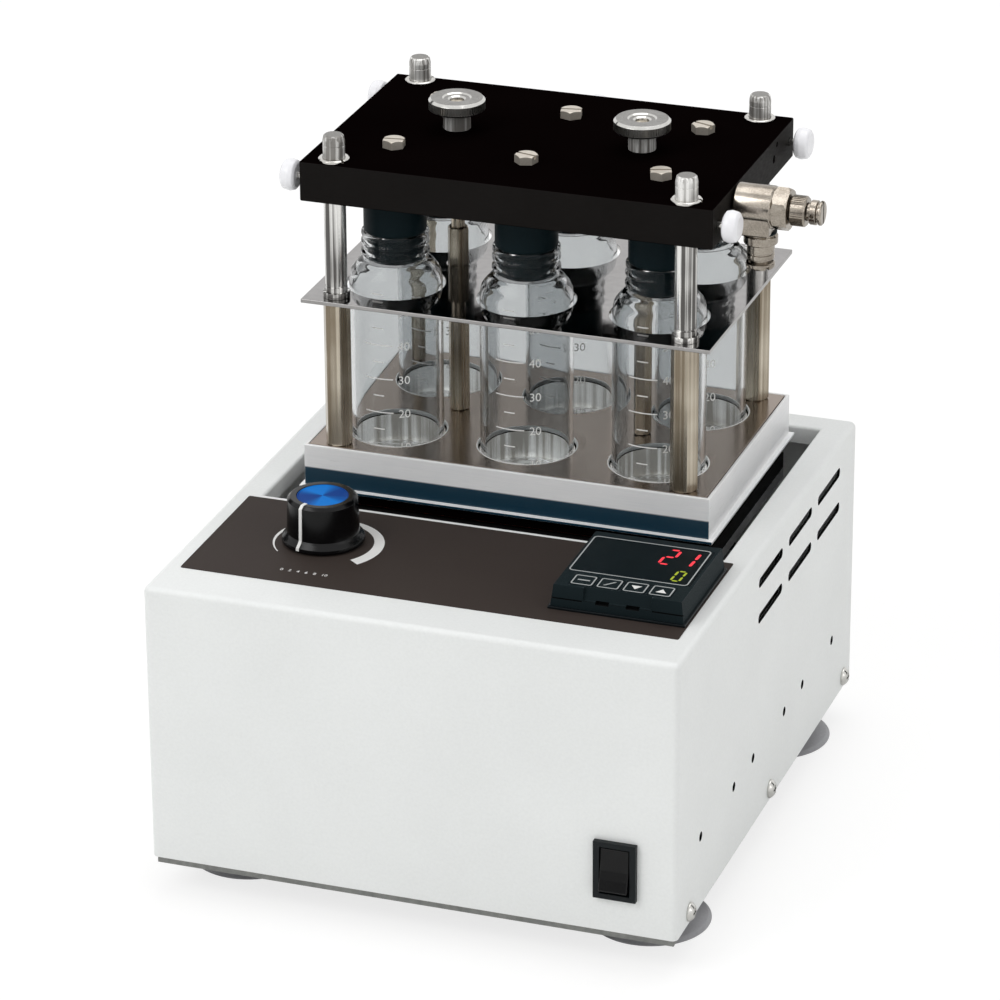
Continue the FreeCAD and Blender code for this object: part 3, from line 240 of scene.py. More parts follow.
@dataclass(frozen=True)
class SpunCapPaintedSheen(Finish):
    """Blue anodised aluminium turned on its face, with a painted highlight in wedges from the middle."""

    wedges: float = 2.0

    def texture(self, tree: bpy.types.NodeTree, shader: bpy.types.Node) -> None:
        """Adds painted highlight wedges about the knob's axis, and the fine rings of the turning.

        Args:
            tree: The material's node tree.
            shader: The Principled node.
        """
        middle = centre_of("speed_knob")
        place = add_node(tree, "ShaderNodeTexCoord")
        moved = add_node(tree, "ShaderNodeMapping", {"Location": (-middle.x, -middle.y, 0)},
                         {"Vector": place.outputs["Object"]})
        split = add_node(tree, "ShaderNodeSeparateXYZ", {}, {0: moved.outputs[0]})
        angle = add_node(tree, "ShaderNodeMath", {"operation": "ARCTAN2"},
                         {0: split.outputs[1], 1: split.outputs[0]})
        turn = add_node(tree, "ShaderNodeMath", {"operation": "MULTIPLY_ADD", 1: self.wedges, 2: 1.9},
                        {0: angle.outputs[0]})
        wave = add_node(tree, "ShaderNodeMath", {"operation": "COSINE"}, {0: turn.outputs[0]})
        fan = add_node(tree, "ShaderNodeTexNoise", {"noise_dimensions": "1D", "Scale": 1.6, "Detail": 2.0},
                       {"W": angle.outputs[0]})
        total = add_node(tree, "ShaderNodeMath", {"operation": "ADD"},
                         {0: wave.outputs[0], 1: fan.outputs[0]})
        share = add_node(tree, "ShaderNodeMapRange", {"From Min": -0.1, "From Max": 1.1},
                         {"Value": total.outputs[0]})
        # painted highlight: azure wedges over navy, fixed to the knob
        colour = add_node(tree, "ShaderNodeMix",
                          {"data_type": "RGBA", 6: linear(self.tint), 7: linear(self.colour)},
                          {0: share.outputs[0]})
        rings = add_node(tree, "ShaderNodeTexWave",
                         {"wave_type": "RINGS", "rings_direction": "Z", "Scale": 1 / (self.grain * MM) / 6.28,
                          "Distortion": 0.0}, {"Vector": moved.outputs[0]})
        bump = add_node(tree, "ShaderNodeBump", {"Strength": 0.6, "Distance": self.relief * MM},
                        {"Height": rings.outputs[1]})
        tree.links.new(colour.outputs[2], shader.inputs["Base Color"])
        tree.links.new(bump.outputs[0], shader.inputs["Normal"])
        shader.inputs["Roughness"].default_value = self.roughness


@dataclass(frozen=True)
class SteelWithPaintedReflection(Finish):
    """Stainless sheet, brushed above a level, and polished below it with a painted dark reflection."""

    band: str = "#17384A"
    level_above_panel: float = 6.6

    def texture(self, tree: bpy.types.NodeTree, shader: bpy.types.Node) -> None:
        """Mixes a polished part, with a dark blue reflection painted into its colour, into the brushed sheet
        on the front wall.

        Args:
            tree: The material's node tree.
            shader: The Principled node.
        """
        super().texture(tree, shader)
        plain = shader.inputs["Base Color"].links[0].from_socket
        gloss = shader.inputs["Roughness"].links[0].from_socket
        place = add_node(tree, "ShaderNodeTexCoord")
        split = add_node(tree, "ShaderNodeSeparateXYZ", {}, {0: place.outputs["Object"]})
        facing = add_node(tree, "ShaderNodeSeparateXYZ", {}, {0: place.outputs["Normal"]})
        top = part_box("cover")[1].z + self.level_above_panel * MM
        low = add_node(tree, "ShaderNodeMapRange", {"From Min": top + 0.25 * MM, "From Max": top - 0.25 * MM},
                       {"Value": split.outputs[2]})
        front = add_node(tree, "ShaderNodeMath", {"operation": "LESS_THAN", 1: -0.8}, {0: facing.outputs[1]})
        both = add_node(tree, "ShaderNodeMath", {"operation": "MULTIPLY"},
                        {0: low.outputs[0], 1: front.outputs[0]})
        # painted reflection: dark blue below the level on the front wall
        colour = add_node(tree, "ShaderNodeMix", {"data_type": "RGBA", 7: linear(self.band)},
                          {0: both.outputs[0], 6: plain})
        rough = add_node(tree, "ShaderNodeMix", {3: 0.16}, {0: both.outputs[0], 2: gloss})
        tree.links.new(colour.outputs[2], shader.inputs["Base Color"])
        tree.links.new(rough.outputs[0], shader.inputs["Roughness"])


@dataclass(frozen=True)
class Lit(Finish):
    """A display segment that shines in its own colour behind a smoked window."""

    def settings(self) -> dict:
        """Values on the shader's own sockets."""
        return {**super().settings(), "Emission Color": linear(self.colour), "Emission Strength": 0.75}


@dataclass(frozen=True)
class BrightPocket(Finish):
    """Polished bores that throw light to and fro, more often than a render follows it."""

    glow: float = 0.42

    def texture(self, tree: bpy.types.NodeTree, shader: bpy.types.Node) -> None:
        """Gives the streaks a faint light of their own, for the bounces that are lost.

        Args:
            tree: The material's node tree.
            shader: The Principled node.
        """
        super().texture(tree, shader)
        # painted light: the streaks glow in their own colour
        tree.links.new(shader.inputs["Base Color"].links[0].from_socket, shader.inputs["Emission Color"])
        shader.inputs["Emission Strength"].default_value = self.glow


# Powder coat on steel: an even cool white with a fine orange peel that softens its gloss.
POWDER_COAT = Finish("powder_coated_steel", "#F0F2F1", "#EAECEB", grain=1.1, drift=45, roughness=0.4,
                     spread=0.04, relief=0.012, level=0.4)
# Zinc plated sheet: a dull grey with faint cloudy patches.
ZINC_PLATE = Finish("zinc_plated_steel", "#8F908D", "#7C7D7B", grain=2.5, drift=14, roughness=0.42,
                    metallic=1.0, relief=0.006)
# Moulded grey rubber: soft and slightly sheened, paler where it is thin.
GREY_RUBBER = Finish("moulded_grey_rubber", "#A8A8AB", "#9C9CA0", grain=0.7, roughness=0.42, relief=0.012)
# Printed polyester film: a warm near-black with a very fine matt tooth.
LABEL_FILM = Finish("printed_polyester_film", "#352D2A", "#3B3430", grain=0.5, drift=70, roughness=0.62,
                    spread=0.05, relief=0.004, level=0.12)
# Screen printed white ink: opaque, matt, slightly uneven.
WHITE_INK = Finish("white_screen_ink", "#F4F4F2", "#E6E6E4", grain=0.3, roughness=0.6, relief=0.003)
# Grey screen ink of the controller's outlines: matt, and dimmer than the white.
GREY_INK = Finish("grey_screen_ink", "#B9BCBC", "#A9ADAD", grain=0.3, roughness=0.6, relief=0.003)
# Spark eroded ABS: dark slate with a fine even texture.
TEXTURED_ABS = Finish("textured_slate_abs", "#1A2427", "#161F22", grain=0.35, roughness=0.5, relief=0.015,
                      level=0.05)
# The same ABS on the sloping flanks, where the texture is coarser; their paler grey is painted light, as they
# catch more light.
LIT_FLANK_ABS = Finish("flank_abs_painted_light", "#45474B", "#3C3E42", grain=0.4, roughness=0.55, relief=0.02)
# Smoked acrylic window: nearly black and smooth.
SMOKED_ACRYLIC = Finish("smoked_acrylic", "#10181B", "#141D20", grain=6, roughness=0.3, spread=0.02,
                        relief=0.0, level=0.02)
# Glossy black moulding of the knob and the rocker: deep black with a sharp line of light on its edges.
GLOSSY_BLACK = Finish("glossy_black_abs", "#030304", "#060607", grain=0.8, roughness=0.2, spread=0.03,
                      relief=0.002, level=0.26)
# Glass filled nylon: blue black, with a dry sheen.
SWITCH_BLACK = Finish("satin_black_nylon", "#0A1013", "#0D1417", grain=0.5, roughness=0.36, relief=0.006,
                      level=0.22)
# Blue anodised cap: a painted highlight in azure wedges that turn to navy between them.
BLUE_CAP = SpunCapPaintedSheen("blue_cap_painted_sheen", "#0B7BD6", "#073F8C", grain=0.25, roughness=0.5, relief=0.008,
                   level=0.08)
# Bright nickel plate on small screws, contacts and chamfers: sharp, small highlights.
BRIGHT_NICKEL = Finish("bright_nickel_plate", "#D9D8D4", "#C9C8C4", grain=2, roughness=0.14, spread=0.04,
                       metallic=1.0, relief=0.0)
# Stainless sheet: the upper part of the wall is brushed pale, the lower part polished, with a dark blue
# reflection painted into its colour.
TRAY_STEEL = SteelWithPaintedReflection("bright_stainless_sheet", "#F6F6F6", "#ECEDEE", grain=0.25, drift=18,
                          stretch=(60, 60, 1), roughness=0.32, spread=0.05, relief=0.001, metallic=0.08)
# Brushed stainless plate: fine lines from front to back that blur what it mirrors into streaks.
BRUSHED_PLATE = Finish("brushed_stainless_plate", "#988C82", "#8E8278", grain=0.1, drift=60,
                       stretch=(1, 400, 1), roughness=0.2, spread=0.02, relief=0.0, metallic=1.0)
# Mirror polished stainless: sharp reflections, only faintly hazed.
MIRROR_STEEL = Finish("mirror_stainless", "#A4A2A1", "#989695", grain=3, drift=40, roughness=0.08,
                      spread=0.03, metallic=1.0, relief=0.0)
# Nickel on brass: a warm satin grey with fine turning lines across its length.
NICKEL_BRASS = Finish("nickel_plated_brass", "#B3ABA0", "#857D73", grain=0.35, drift=9, roughness=0.2,
                      spread=0.06, metallic=1.0, relief=0.002, soft=0.22)
# The same plate on the drawn hexagon posts, whose flats carry light and brown streaks along them.
STREAKED_NICKEL = Finish("streaked_nickel_post", "#D9D0BF", "#877B69", grain=1.7, drift=50,
                         stretch=(1, 1, 200), roughness=0.26, spread=0.05, metallic=0.8, relief=0.0,
                         soft=0.18)
# Knurled nuts and heads: the same plate in a duller, even grey.
SATIN_NICKEL = Finish("satin_nickel_plate", "#979592", "#82807D", grain=1.2, drift=8, roughness=0.3,
                      spread=0.03, metallic=1.0, relief=0.0)
# Slotted screws: pale beige grey, tumbled, with hardly any mirror in it.
TUMBLED_NICKEL = Finish("tumbled_nickel_screws", "#CFC8BD", "#C2BAAE", grain=0.8, drift=5, roughness=0.42,
                        metallic=0.7, relief=0.003)
# Sawn and faced bar ends: flat grey next to the polished sides.
FACED_END = Finish("faced_bar_end", "#8F8D8A", "#82807D", grain=0.3, roughness=0.5, metallic=0.6,
                    relief=0.003)
# Ground and polished bar: bright with hair lines round it.
GROUND_STEEL = Finish("ground_polished_steel", "#D4D2CE", "#C2BFBA", grain=0.2, drift=12,
                      stretch=(20, 20, 1), roughness=0.15, spread=0.04, metallic=1.0, relief=0.001)
# The same bar where it stands upright: light and dark streaks run along it, painted reflections.
BAR_REFLECTION_STREAKS = Finish("bar_painted_reflection_streaks", "#F2F1EE", "#5E5C5A", grain=1.4, drift=60, stretch=(1, 1, 240),
                      roughness=0.2, spread=0.05, relief=0.0, metallic=0.85, soft=0.09)
# Turned ends of the same bar above the black plate, and the hubs of the clamp nuts: paler, with streaks, a
# painted highlight so that they stand out from what they mirror.
BAR_END_PAINTED_LIGHT = Finish("bar_end_painted_light", "#F3F2EF", "#85827E", grain=1.2, drift=60, stretch=(1, 1, 240),
                    roughness=0.3, spread=0.05, relief=0.0, metallic=0.4, soft=0.1)
# Milled aluminium: pale grey with fine straight cutter marks.
MILLED_ALUMINIUM = Finish("milled_aluminium", "#C4C5C6", "#B4B5B7", grain=0.5, stretch=(30, 1, 1),
                          roughness=0.34, metallic=1.0, relief=0.006)
# Bored aluminium block: pockets painted near white, with upright streaks as painted reflections and a painted
# glow that lights the foot of each vial.
BORED_ALUMINIUM = BrightPocket("bored_aluminium", "#FAF9F6", "#A8A49D", grain=2.2, drift=40,
                               stretch=(1, 1, 80), roughness=0.3, spread=0.06, metallic=0.12, relief=0.0,
                               soft=0.12)
# Hole edges in the top plate, polished and painted white as a highlight: a white line round the foot of each
# vial.
HOLE_EDGE_HIGHLIGHT = Finish("hole_edge_painted_highlight", "#F8F8F6", "#F0F0EE", grain=1.0, roughness=0.3, relief=0.0)
# Fibre board: painted shade, black and matt, which makes the gap round the tray read as a dark line.
SHADED_FIBRE_BOARD = Finish("fibre_board_painted_shade", "#0B0B0B", "#101010", grain=0.6, stretch=(4, 1, 1),
                     roughness=0.9, relief=0.05, level=0.1)
# Silicone mat: brick red with a woven backing's fine tooth.
SILICONE_MAT = Finish("silicone_heater_mat", "#A5452F", "#953C29", grain=0.8, roughness=0.7, relief=0.04)
# Borosilicate tube: faintly grey, so a white wall behind it drops a step, with slow waves along it.
GLASS = ClearGlass("borosilicate_glass", "#DFE1E2", "#EFF0F0", grain=9, stretch=(1, 1, 6), relief=0.02)
# Black anodised plate: a dry, even black that gives almost no highlight.
BLACK_ANODISED = Finish("black_anodised_aluminium", "#060303", "#090505", grain=0.4, drift=50,
                        roughness=0.6, spread=0.05, relief=0.003, level=0.0)
# The sawn sides of the same plate: a little lighter than the top, a painted sheen.
ANODISED_SIDE_SHEEN = Finish("anodised_side_painted_sheen", "#161413", "#1B1918", grain=0.3, stretch=(12, 12, 1),
                       roughness=0.5, relief=0.004, level=0.03)
# Butyl rubber: black with a green cast, smooth from the mould.
BLACK_RUBBER = Finish("butyl_rubber", "#0F1B1F", "#122024", grain=0.8, roughness=0.45, relief=0.01,
                      level=0.05)
# White nylon: slightly waxy and cool.
WHITE_NYLON = Finish("white_nylon", "#F1F2F8", "#E7E9F2", grain=1.5, roughness=0.34, relief=0.006, level=0.4)
# Neoprene belt: black and dusty, with the print of its cloth.
BELT_RUBBER = Finish("neoprene_belt", "#141414", "#1B1B1A", grain=0.5, roughness=0.75, relief=0.03)
# Sintered bronze bearings: brown gold and open-grained, so they never mirror.
BRONZE = Finish("sintered_bronze", "#9A6B36", "#855A2C", grain=0.3, roughness=0.45, metallic=1.0, relief=0.02)
# Painted motor case: blue grey with a light texture, darker than the plates round it.
MOTOR_STEEL = Finish("painted_motor_case", "#4E5358", "#464A4F", grain=0.6, roughness=0.5, relief=0.01)
# Hardened steel cranks: dark grey from the heat, with a dull sheen.
DARK_STEEL = Finish("hardened_steel", "#6C6B69", "#5C5B59", grain=0.4, roughness=0.32, metallic=1.0,
                    relief=0.004)
# Lit red segments: the brightest red on the panel, the same all over.
RED_SEGMENT = Lit("red_display_segment", "#DE3B46", "#D6333E", grain=2, relief=0.0, level=0.1)
# Lit green segments: a dimmer yellow green that steps back behind the red.
GREEN_SEGMENT = Lit("green_display_segment", "#8D982C", "#828B27", grain=2, relief=0.0, level=0.1)
# Deep gaps and slots: painted shade, an unlit black on their walls, which draws them as dark lines.
SHADE_BLACK = Finish("recess_painted_shade", "#040506", "#060708", grain=1, roughness=0.8, relief=0.0, level=0.1)


# Places read from the frame

VIAL_PLACES = tuple(f"{row}_{column}" for row in ("front", "rear") for column in ("left", "middle", "right"))
POCKET_REACH = 19.0  # millimetres from a vial's middle, just past the wall of its pocket

class Facing(Enum):
    """The way a turned or pressed piece points, as the turn that takes +Z there."""

    UP = (0.0, 0.0, 0.0)
    DOWN = (math.pi, 0.0, 0.0)
    RIGHT = (0.0, math.pi / 2, 0.0)
    LEFT = (0.0, -math.pi / 2, 0.0)
    BACK = (-math.pi / 2, 0.0, 0.0)
    FRONT = (math.pi / 2, 0.0, 0.0)


def centre_of(node: str) -> Vector:
    """The middle of a node's box."""
    low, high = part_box(node)
    return (low + high) / 2


def vial_middles() -> list[Vector]:
    """The middles of the six vials."""
    return [centre_of(f"vial_{place}") for place in VIAL_PLACES]


def at(x: float, y: float, z: float) -> Vector:
    """A place in metres."""
    return Vector((x, y, z))


def solid_boxes(node: str) -> list[tuple[Vector, Vector]]:
    """Finds the box of each separate solid of a node.

    Args:
        node: The node's name.

    Returns:
        The lowest and highest corner of each solid, ordered from front to back, then left to right.
    """
    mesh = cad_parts[node].data
    keys = [tuple(round(value, 6) for value in vertex.co) for vertex in mesh.vertices]
    leader = {key: key for key in keys}

    def root(key: tuple) -> tuple:
        """Follows a corner to the one that stands for its solid."""
        while leader[key] != key:
            leader[key] = leader[leader[key]]
            key = leader[key]
        return key

    for polygon in mesh.polygons:
        first, *others = [keys[index] for index in polygon.vertices]
        for other in others:
            leader[root(other)] = root(first)
    groups: dict[tuple, list[tuple]] = {}
    for key in leader:
        groups.setdefault(root(key), []).append(key)
    boxes = [(Vector(map(min, *group)), Vector(map(max, *group))) for group in groups.values()]
    return sorted(boxes, key=lambda box: (round(box[0].y, 3), round(box[0].x, 3), box[0].z))


# Modelling

def release() -> None:
    """Leaves edit mode and deselects everything."""
    if bpy.context.mode != "OBJECT":
        bpy.ops.object.mode_set(mode="OBJECT")
    bpy.ops.object.select_all(action="DESELECT")


def focus(piece: Piece) -> None:
    """Selects one piece alone and makes it active."""
    release()
    piece.select_set(True)
    bpy.context.view_layer.objects.active = piece


def edit_all(piece: Piece) -> None:
    """Opens a piece in edit mode with all of it selected."""
    focus(piece)
    bpy.context.tool_settings.mesh_select_mode = (True, False, False)
    bpy.ops.object.mode_set(mode="EDIT")
    bpy.ops.mesh.select_all(action="SELECT")


def pick_faces(piece: Piece, test: Callable[[Vector, Vector], bool]) -> None:
    """Opens a piece in edit mode with some of its faces selected.

    Args:
        piece: The piece.
        test: Takes a face's centre and normal, and says if it is picked.
    """
    focus(piece)
    mesh = piece.data
    for vertex in mesh.vertices:
        vertex.select = False
    for edge in mesh.edges:
        edge.select = False
    for face in mesh.polygons:
        face.select = test(face.center, face.normal)
    bpy.context.tool_settings.mesh_select_mode = (False, False, True)
    bpy.ops.object.mode_set(mode="EDIT")


def pick_edges(piece: Piece, test: Callable[[Vector, Vector], bool]) -> None:
    """Opens a piece in edit mode with some of its edges selected.

    Args:
        piece: The piece.
        test: Takes an edge's two ends, and says if it is picked.
    """
    focus(piece)
    mesh = piece.data
    for face in mesh.polygons:
        face.select = False
    for vertex in mesh.vertices:
        vertex.select = False
    for edge in mesh.edges:
        start, end = [mesh.vertices[index] for index in edge.vertices]
        edge.select = test(start.co, end.co)
        if edge.select:
            start.select = end.select = True
    bpy.context.tool_settings.mesh_select_mode = (False, True, False)
    bpy.ops.object.mode_set(mode="EDIT")


def settle(piece: Piece, name: str) -> Piece:
    """Names a piece and moves its place and turn into its mesh.

    Args:
        piece: The piece.
        name: Its name.

    Returns:
        The same piece.
    """
    focus(piece)
    piece.name = piece.data.name = name
    bpy.ops.object.transform_apply(location=True, rotation=True, scale=True)
    return piece


def stand(piece: Piece, name: str, place: Vector, facing: Facing = Facing.UP) -> Piece:
    """Turns a piece that was made at the origin, moves it to its place and settles it there.

    Args:
        piece: The piece.
        name: Its name.
        place: Where its origin goes, in metres.
        facing: The way its +Z points.

    Returns:
        The same piece.
    """
    release()
    piece.rotation_euler = facing.value
    piece.location = place
    return settle(piece, name)


def modify(piece: Piece, kind: str, **settings: object) -> None:
    """Adds a modifier and applies it.

    Args:
        piece: The piece.
        kind: The modifier's type.
        settings: The modifier's own properties.
    """
    modifier = piece.modifiers.new(kind.lower(), kind)
    for key, value in settings.items():
        setattr(modifier, key, value)
    focus(piece)
    bpy.ops.object.modifier_apply(modifier=modifier.name)


def ease_edges(piece: Piece, width: float, segments: int = 2, angle: float = 40.0) -> None:
    """Rounds the sharp edges of a piece and evens the shading of its flats.

    Args:
        piece: The piece.
        width: The width of the rounding in metres.
        segments: How many steps it has.
        angle: Edges sharper than this many degrees are rounded.
    """
    modify(piece, "BEVEL", width=width, segments=segments, limit_method="ANGLE",
           angle_limit=math.radians(angle), use_clamp_overlap=True)
    shade(piece)


def shade(piece: Piece, angle: float = 35.0) -> None:
    """Smooths the shading across edges blunter than an angle, and weights it by the faces' size.

    Args:
        piece: The piece.
        angle: The angle in degrees.
    """
    focus(piece)
    bpy.ops.object.shade_smooth_by_angle(angle=math.radians(angle))
    modify(piece, "WEIGHTED_NORMAL", keep_sharp=True, weight=80)


def block(name: str, low: Vector, high: Vector) -> Piece:
    """A rectangular block between two corners."""
    release()
    bpy.ops.mesh.primitive_cube_add(size=1, location=(low + high) / 2, scale=high - low)
    return settle(bpy.context.active_object, name)


def rod(name: str, radius: float, low: Vector, high: Vector, sides: int = 48) -> Piece:
    """A round bar between two points.

    Args:
        name: Its name.
        radius: Its radius in metres.
        low: The middle of one end.
        high: The middle of the other end.
        sides: How many sides its round has.

    Returns:
        The bar.
    """
    release()
    along = high - low
    bpy.ops.mesh.primitive_cylinder_add(vertices=sides, radius=radius, depth=along.length,
                                        location=(low + high) / 2,
                                        rotation=along.to_track_quat("Z", "Y").to_euler())
    return settle(bpy.context.active_object, name)


def rounded(outline: Outline, closed: bool, steps: int = 4) -> list[Vector]:
    """Replaces the corners of an outline by arcs.

    Args:
        outline: Points of two millimetre values, with the corner's radius as an optional third.
        closed: Whether the last point runs back to the first.
        steps: How many steps each arc has.

    Returns:
        The points in metres.
    """
    points = [Vector(point[:2]) * MM for point in outline]
    result = []
    for n, (spec, corner) in enumerate(zip(outline, points)):
        radius = spec[2] * MM if len(spec) > 2 else 0.0
        inner = closed or 0 < n < len(points) - 1
        if radius <= 0 or not inner:
            result.append(corner)
            continue
        back = points[n - 1] - corner
        ahead = points[(n + 1) % len(points)] - corner
        half = back.angle(ahead) / 2
        reach = min(radius / math.tan(half), back.length * 0.49, ahead.length * 0.49)
        radius = reach * math.tan(half)
        start = corner + back.normalized() * reach
        middle = corner + (back.normalized() + ahead.normalized()).normalized() * radius / math.sin(half)
        end = corner + ahead.normalized() * reach
        sweep = (start - middle).angle_signed(end - middle)
        for step in range(steps + 1):
            turn = Matrix.Rotation(-sweep * step / steps, 2)
            result.append(middle + turn @ (start - middle))
    return result


def draw_chain(points: Sequence[Vector], closed: bool) -> Piece:
    """Draws a chain of edges by extruding one corner from point to point, and stays in edit mode.

    Args:
        points: Three-dimensional points in metres.
        closed: Whether the chain becomes one flat face.

    Returns:
        The new piece.
    """
    release()
    bpy.ops.mesh.primitive_plane_add(size=MM, location=(0, 0, 0))
    piece = bpy.context.active_object
    edit_all(piece)
    bpy.ops.mesh.merge(type="CENTER")
    bpy.ops.transform.translate(value=points[0])
    for start, end in zip(points, points[1:]):
        bpy.ops.mesh.extrude_vertices_move(TRANSFORM_OT_translate={"value": end - start})
    bpy.ops.mesh.select_all(action="SELECT")
    if closed:
        bpy.ops.mesh.edge_face_add()
    return piece


def lathe(name: str, profile: Outline, place: Vector, facing: Facing = Facing.UP, steps: int = 72,
          ring: bool = False) -> Piece:
    """Turns a profile about an axis.

    Args:
        name: The piece's name.
        profile: Radius and height pairs in millimetres, each with a corner radius if it is rounded.
        place: The foot of the axis in metres.
        facing: The way the axis points.
        steps: How many steps the turn has.
        ring: Whether the profile closes on itself, for a piece with a bore.

    Returns:
        The turned piece.
    """
    points = [Vector((point.x, 0, point.y)) for point in rounded(profile, ring)]
    piece = draw_chain(points, closed=ring)
    if ring:
        bpy.ops.mesh.delete(type="ONLY_FACE")
        bpy.ops.mesh.select_all(action="SELECT")
    bpy.ops.mesh.spin(steps=steps, angle=math.tau, center=(0, 0, 0), axis=(0, 0, 1))
    bpy.ops.mesh.select_all(action="SELECT")
    bpy.ops.mesh.remove_doubles(threshold=2e-6)
    bpy.ops.mesh.normals_make_consistent(inside=False)
    stand(piece, name, place, facing)
    bpy.ops.object.shade_smooth_by_angle(angle=math.radians(35))
    return piece


def press(name: str, outline: Outline, thick: float, place: Vector, facing: Facing = Facing.UP,
          steps: int = 4) -> Piece:
    """Extrudes an outline.

    Args:
        name: The piece's name.
        outline: Points in millimetres, each with a corner radius if it is rounded.
        thick: How far it is extruded, in metres.
        place: Where the outline's origin goes, in metres.
        facing: The way it is extruded.
        steps: How many steps each rounded corner has.

    Returns:
        The extruded piece.
    """
    points = [Vector((point.x, point.y, 0)) for point in rounded(outline, True, steps)]
    piece = draw_chain(points, closed=True)
    bpy.ops.mesh.extrude_region_move(TRANSFORM_OT_translate={"value": (0, 0, thick)})
    bpy.ops.mesh.select_all(action="SELECT")
    bpy.ops.mesh.normals_make_consistent(inside=False)
    stand(piece, name, place, facing)
    bpy.ops.object.shade_smooth_by_angle(angle=math.radians(35))
    return piece


def oblong(wide: float, tall: float, radius: float) -> list[tuple[float, float, float]]:
    """Corners of a rectangle about its middle, each with the same radius, in millimetres."""
    return [(-wide / 2, -tall / 2, radius), (wide / 2, -tall / 2, radius), (wide / 2, tall / 2, radius),
            (-wide / 2, tall / 2, radius)]


def join(name: str, pieces: Sequence[Piece]) -> Piece:
    """Joins pieces into one.

    Args:
        name: The name of the result.
        pieces: The pieces, the first of which keeps its finish slots in front.

    Returns:
        The joined piece.
    """
    focus(pieces[0])
    for piece in pieces[1:]:
        piece.select_set(True)
    if len(pieces) > 1:
        bpy.ops.object.join()
    return settle(bpy.context.view_layer.objects.active, name)


def cut(piece: Piece, *tools: Piece, keep: str = "DIFFERENCE") -> Piece:
    """Cuts a piece with others, which are used up.

    Args:
        piece: The piece that is cut.
        tools: The cutting shapes.
        keep: The kind of cut, DIFFERENCE or INTERSECT.

    Returns:
        The cut piece.
    """
    tool = join("cutter", list(tools))
    modify(piece, "BOOLEAN", object=tool, operation=keep, solver="EXACT")
    bpy.data.objects.remove(tool)
    return piece


def twin(piece: Piece, name: str, shift: Vector) -> Piece:
    """Copies a piece with its own mesh and moves the copy.

    Args:
        piece: The piece.
        name: The copy's name.
        shift: How far the copy is moved, in metres.

    Returns:
        The copy.
    """
    focus(piece)
    bpy.ops.object.duplicate()
    copy = bpy.context.view_layer.objects.active
    copy.location = shift
    return settle(copy, name)


def turn_about(piece: Piece, angle: float, middle: Vector, axis: str = "Z") -> Piece:
    """Turns a piece about an axis through a point.

    Args:
        piece: The piece.
        angle: The angle in degrees.
        middle: The point.
        axis: The axis.

    Returns:
        The same piece.
    """
    turn = Matrix.Translation(middle) @ Matrix.Rotation(math.radians(angle), 4, axis)
    piece.matrix_world = turn @ Matrix.Translation(-middle) @ piece.matrix_world
    return settle(piece, piece.name)


def refine(name: str, node: str, width: float = 0.25, segments: int = 2, angle: float = 40.0) -> Piece:
    """Copies a node's shape, merges it and rounds its edges.

    Args:
        name: The new piece's name.
        node: The node whose shape is taken.
        width: The width of the rounding in millimetres.
        segments: How many steps the rounding has.
        angle: Edges sharper than this many degrees are rounded.

    Returns:
        The new piece, which replaces the node.
    """
    release()
    piece = bpy.data.objects.new(name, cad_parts[node].data.copy())
    bpy.context.scene.collection.objects.link(piece)
    piece.data.materials.clear()
    edit_all(piece)
    bpy.ops.mesh.remove_doubles(threshold=2e-6)
    bpy.ops.mesh.dissolve_limited(angle_limit=math.radians(0.5))
    release()
    settle(piece, name)
    ease_edges(piece, width * MM, segments, angle)
    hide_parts(node)
    return piece


def dress(piece: Piece, finish: Finish, body: str, slot: str, *nodes: str) -> Piece:
    """Gives a piece its finish and its body, and hides the nodes it stands for.

    Args:
        piece: The piece.
        finish: Its finish.
        body: The body it rides on.
        slot: The record's slot for it; not used.
        nodes: The nodes that it replaces.

    Returns:
        The same piece.
    """
    piece.data.materials.clear()
    piece.data.materials.append(finish.material())
    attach(piece, body)
    if nodes:
        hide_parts(*nodes)
    return piece


def coat_node(node: str, finish: Finish) -> None:
    """Gives a node that stays its finish."""
    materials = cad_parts[node].data.materials
    if not materials:
        materials.append(finish.material())
    for n in range(len(materials)):
        materials[n] = finish.material()


def second_finish(piece: Piece, finish: Finish, test: Callable[[Vector, Vector], bool]) -> None:
    """Gives some faces of a dressed piece a second finish.

    Args:
        piece: The piece.
        finish: The second finish.
        test: Takes a face's centre and normal, and says if it gets the finish.
    """
    piece.data.materials.append(finish.material())
    last = len(piece.data.materials) - 1
    for face in piece.data.polygons:
        if test(face.center, face.normal):
            face.material_index = last


# Sub-assemblies. Sizes are in millimetres unless a comment says otherwise.

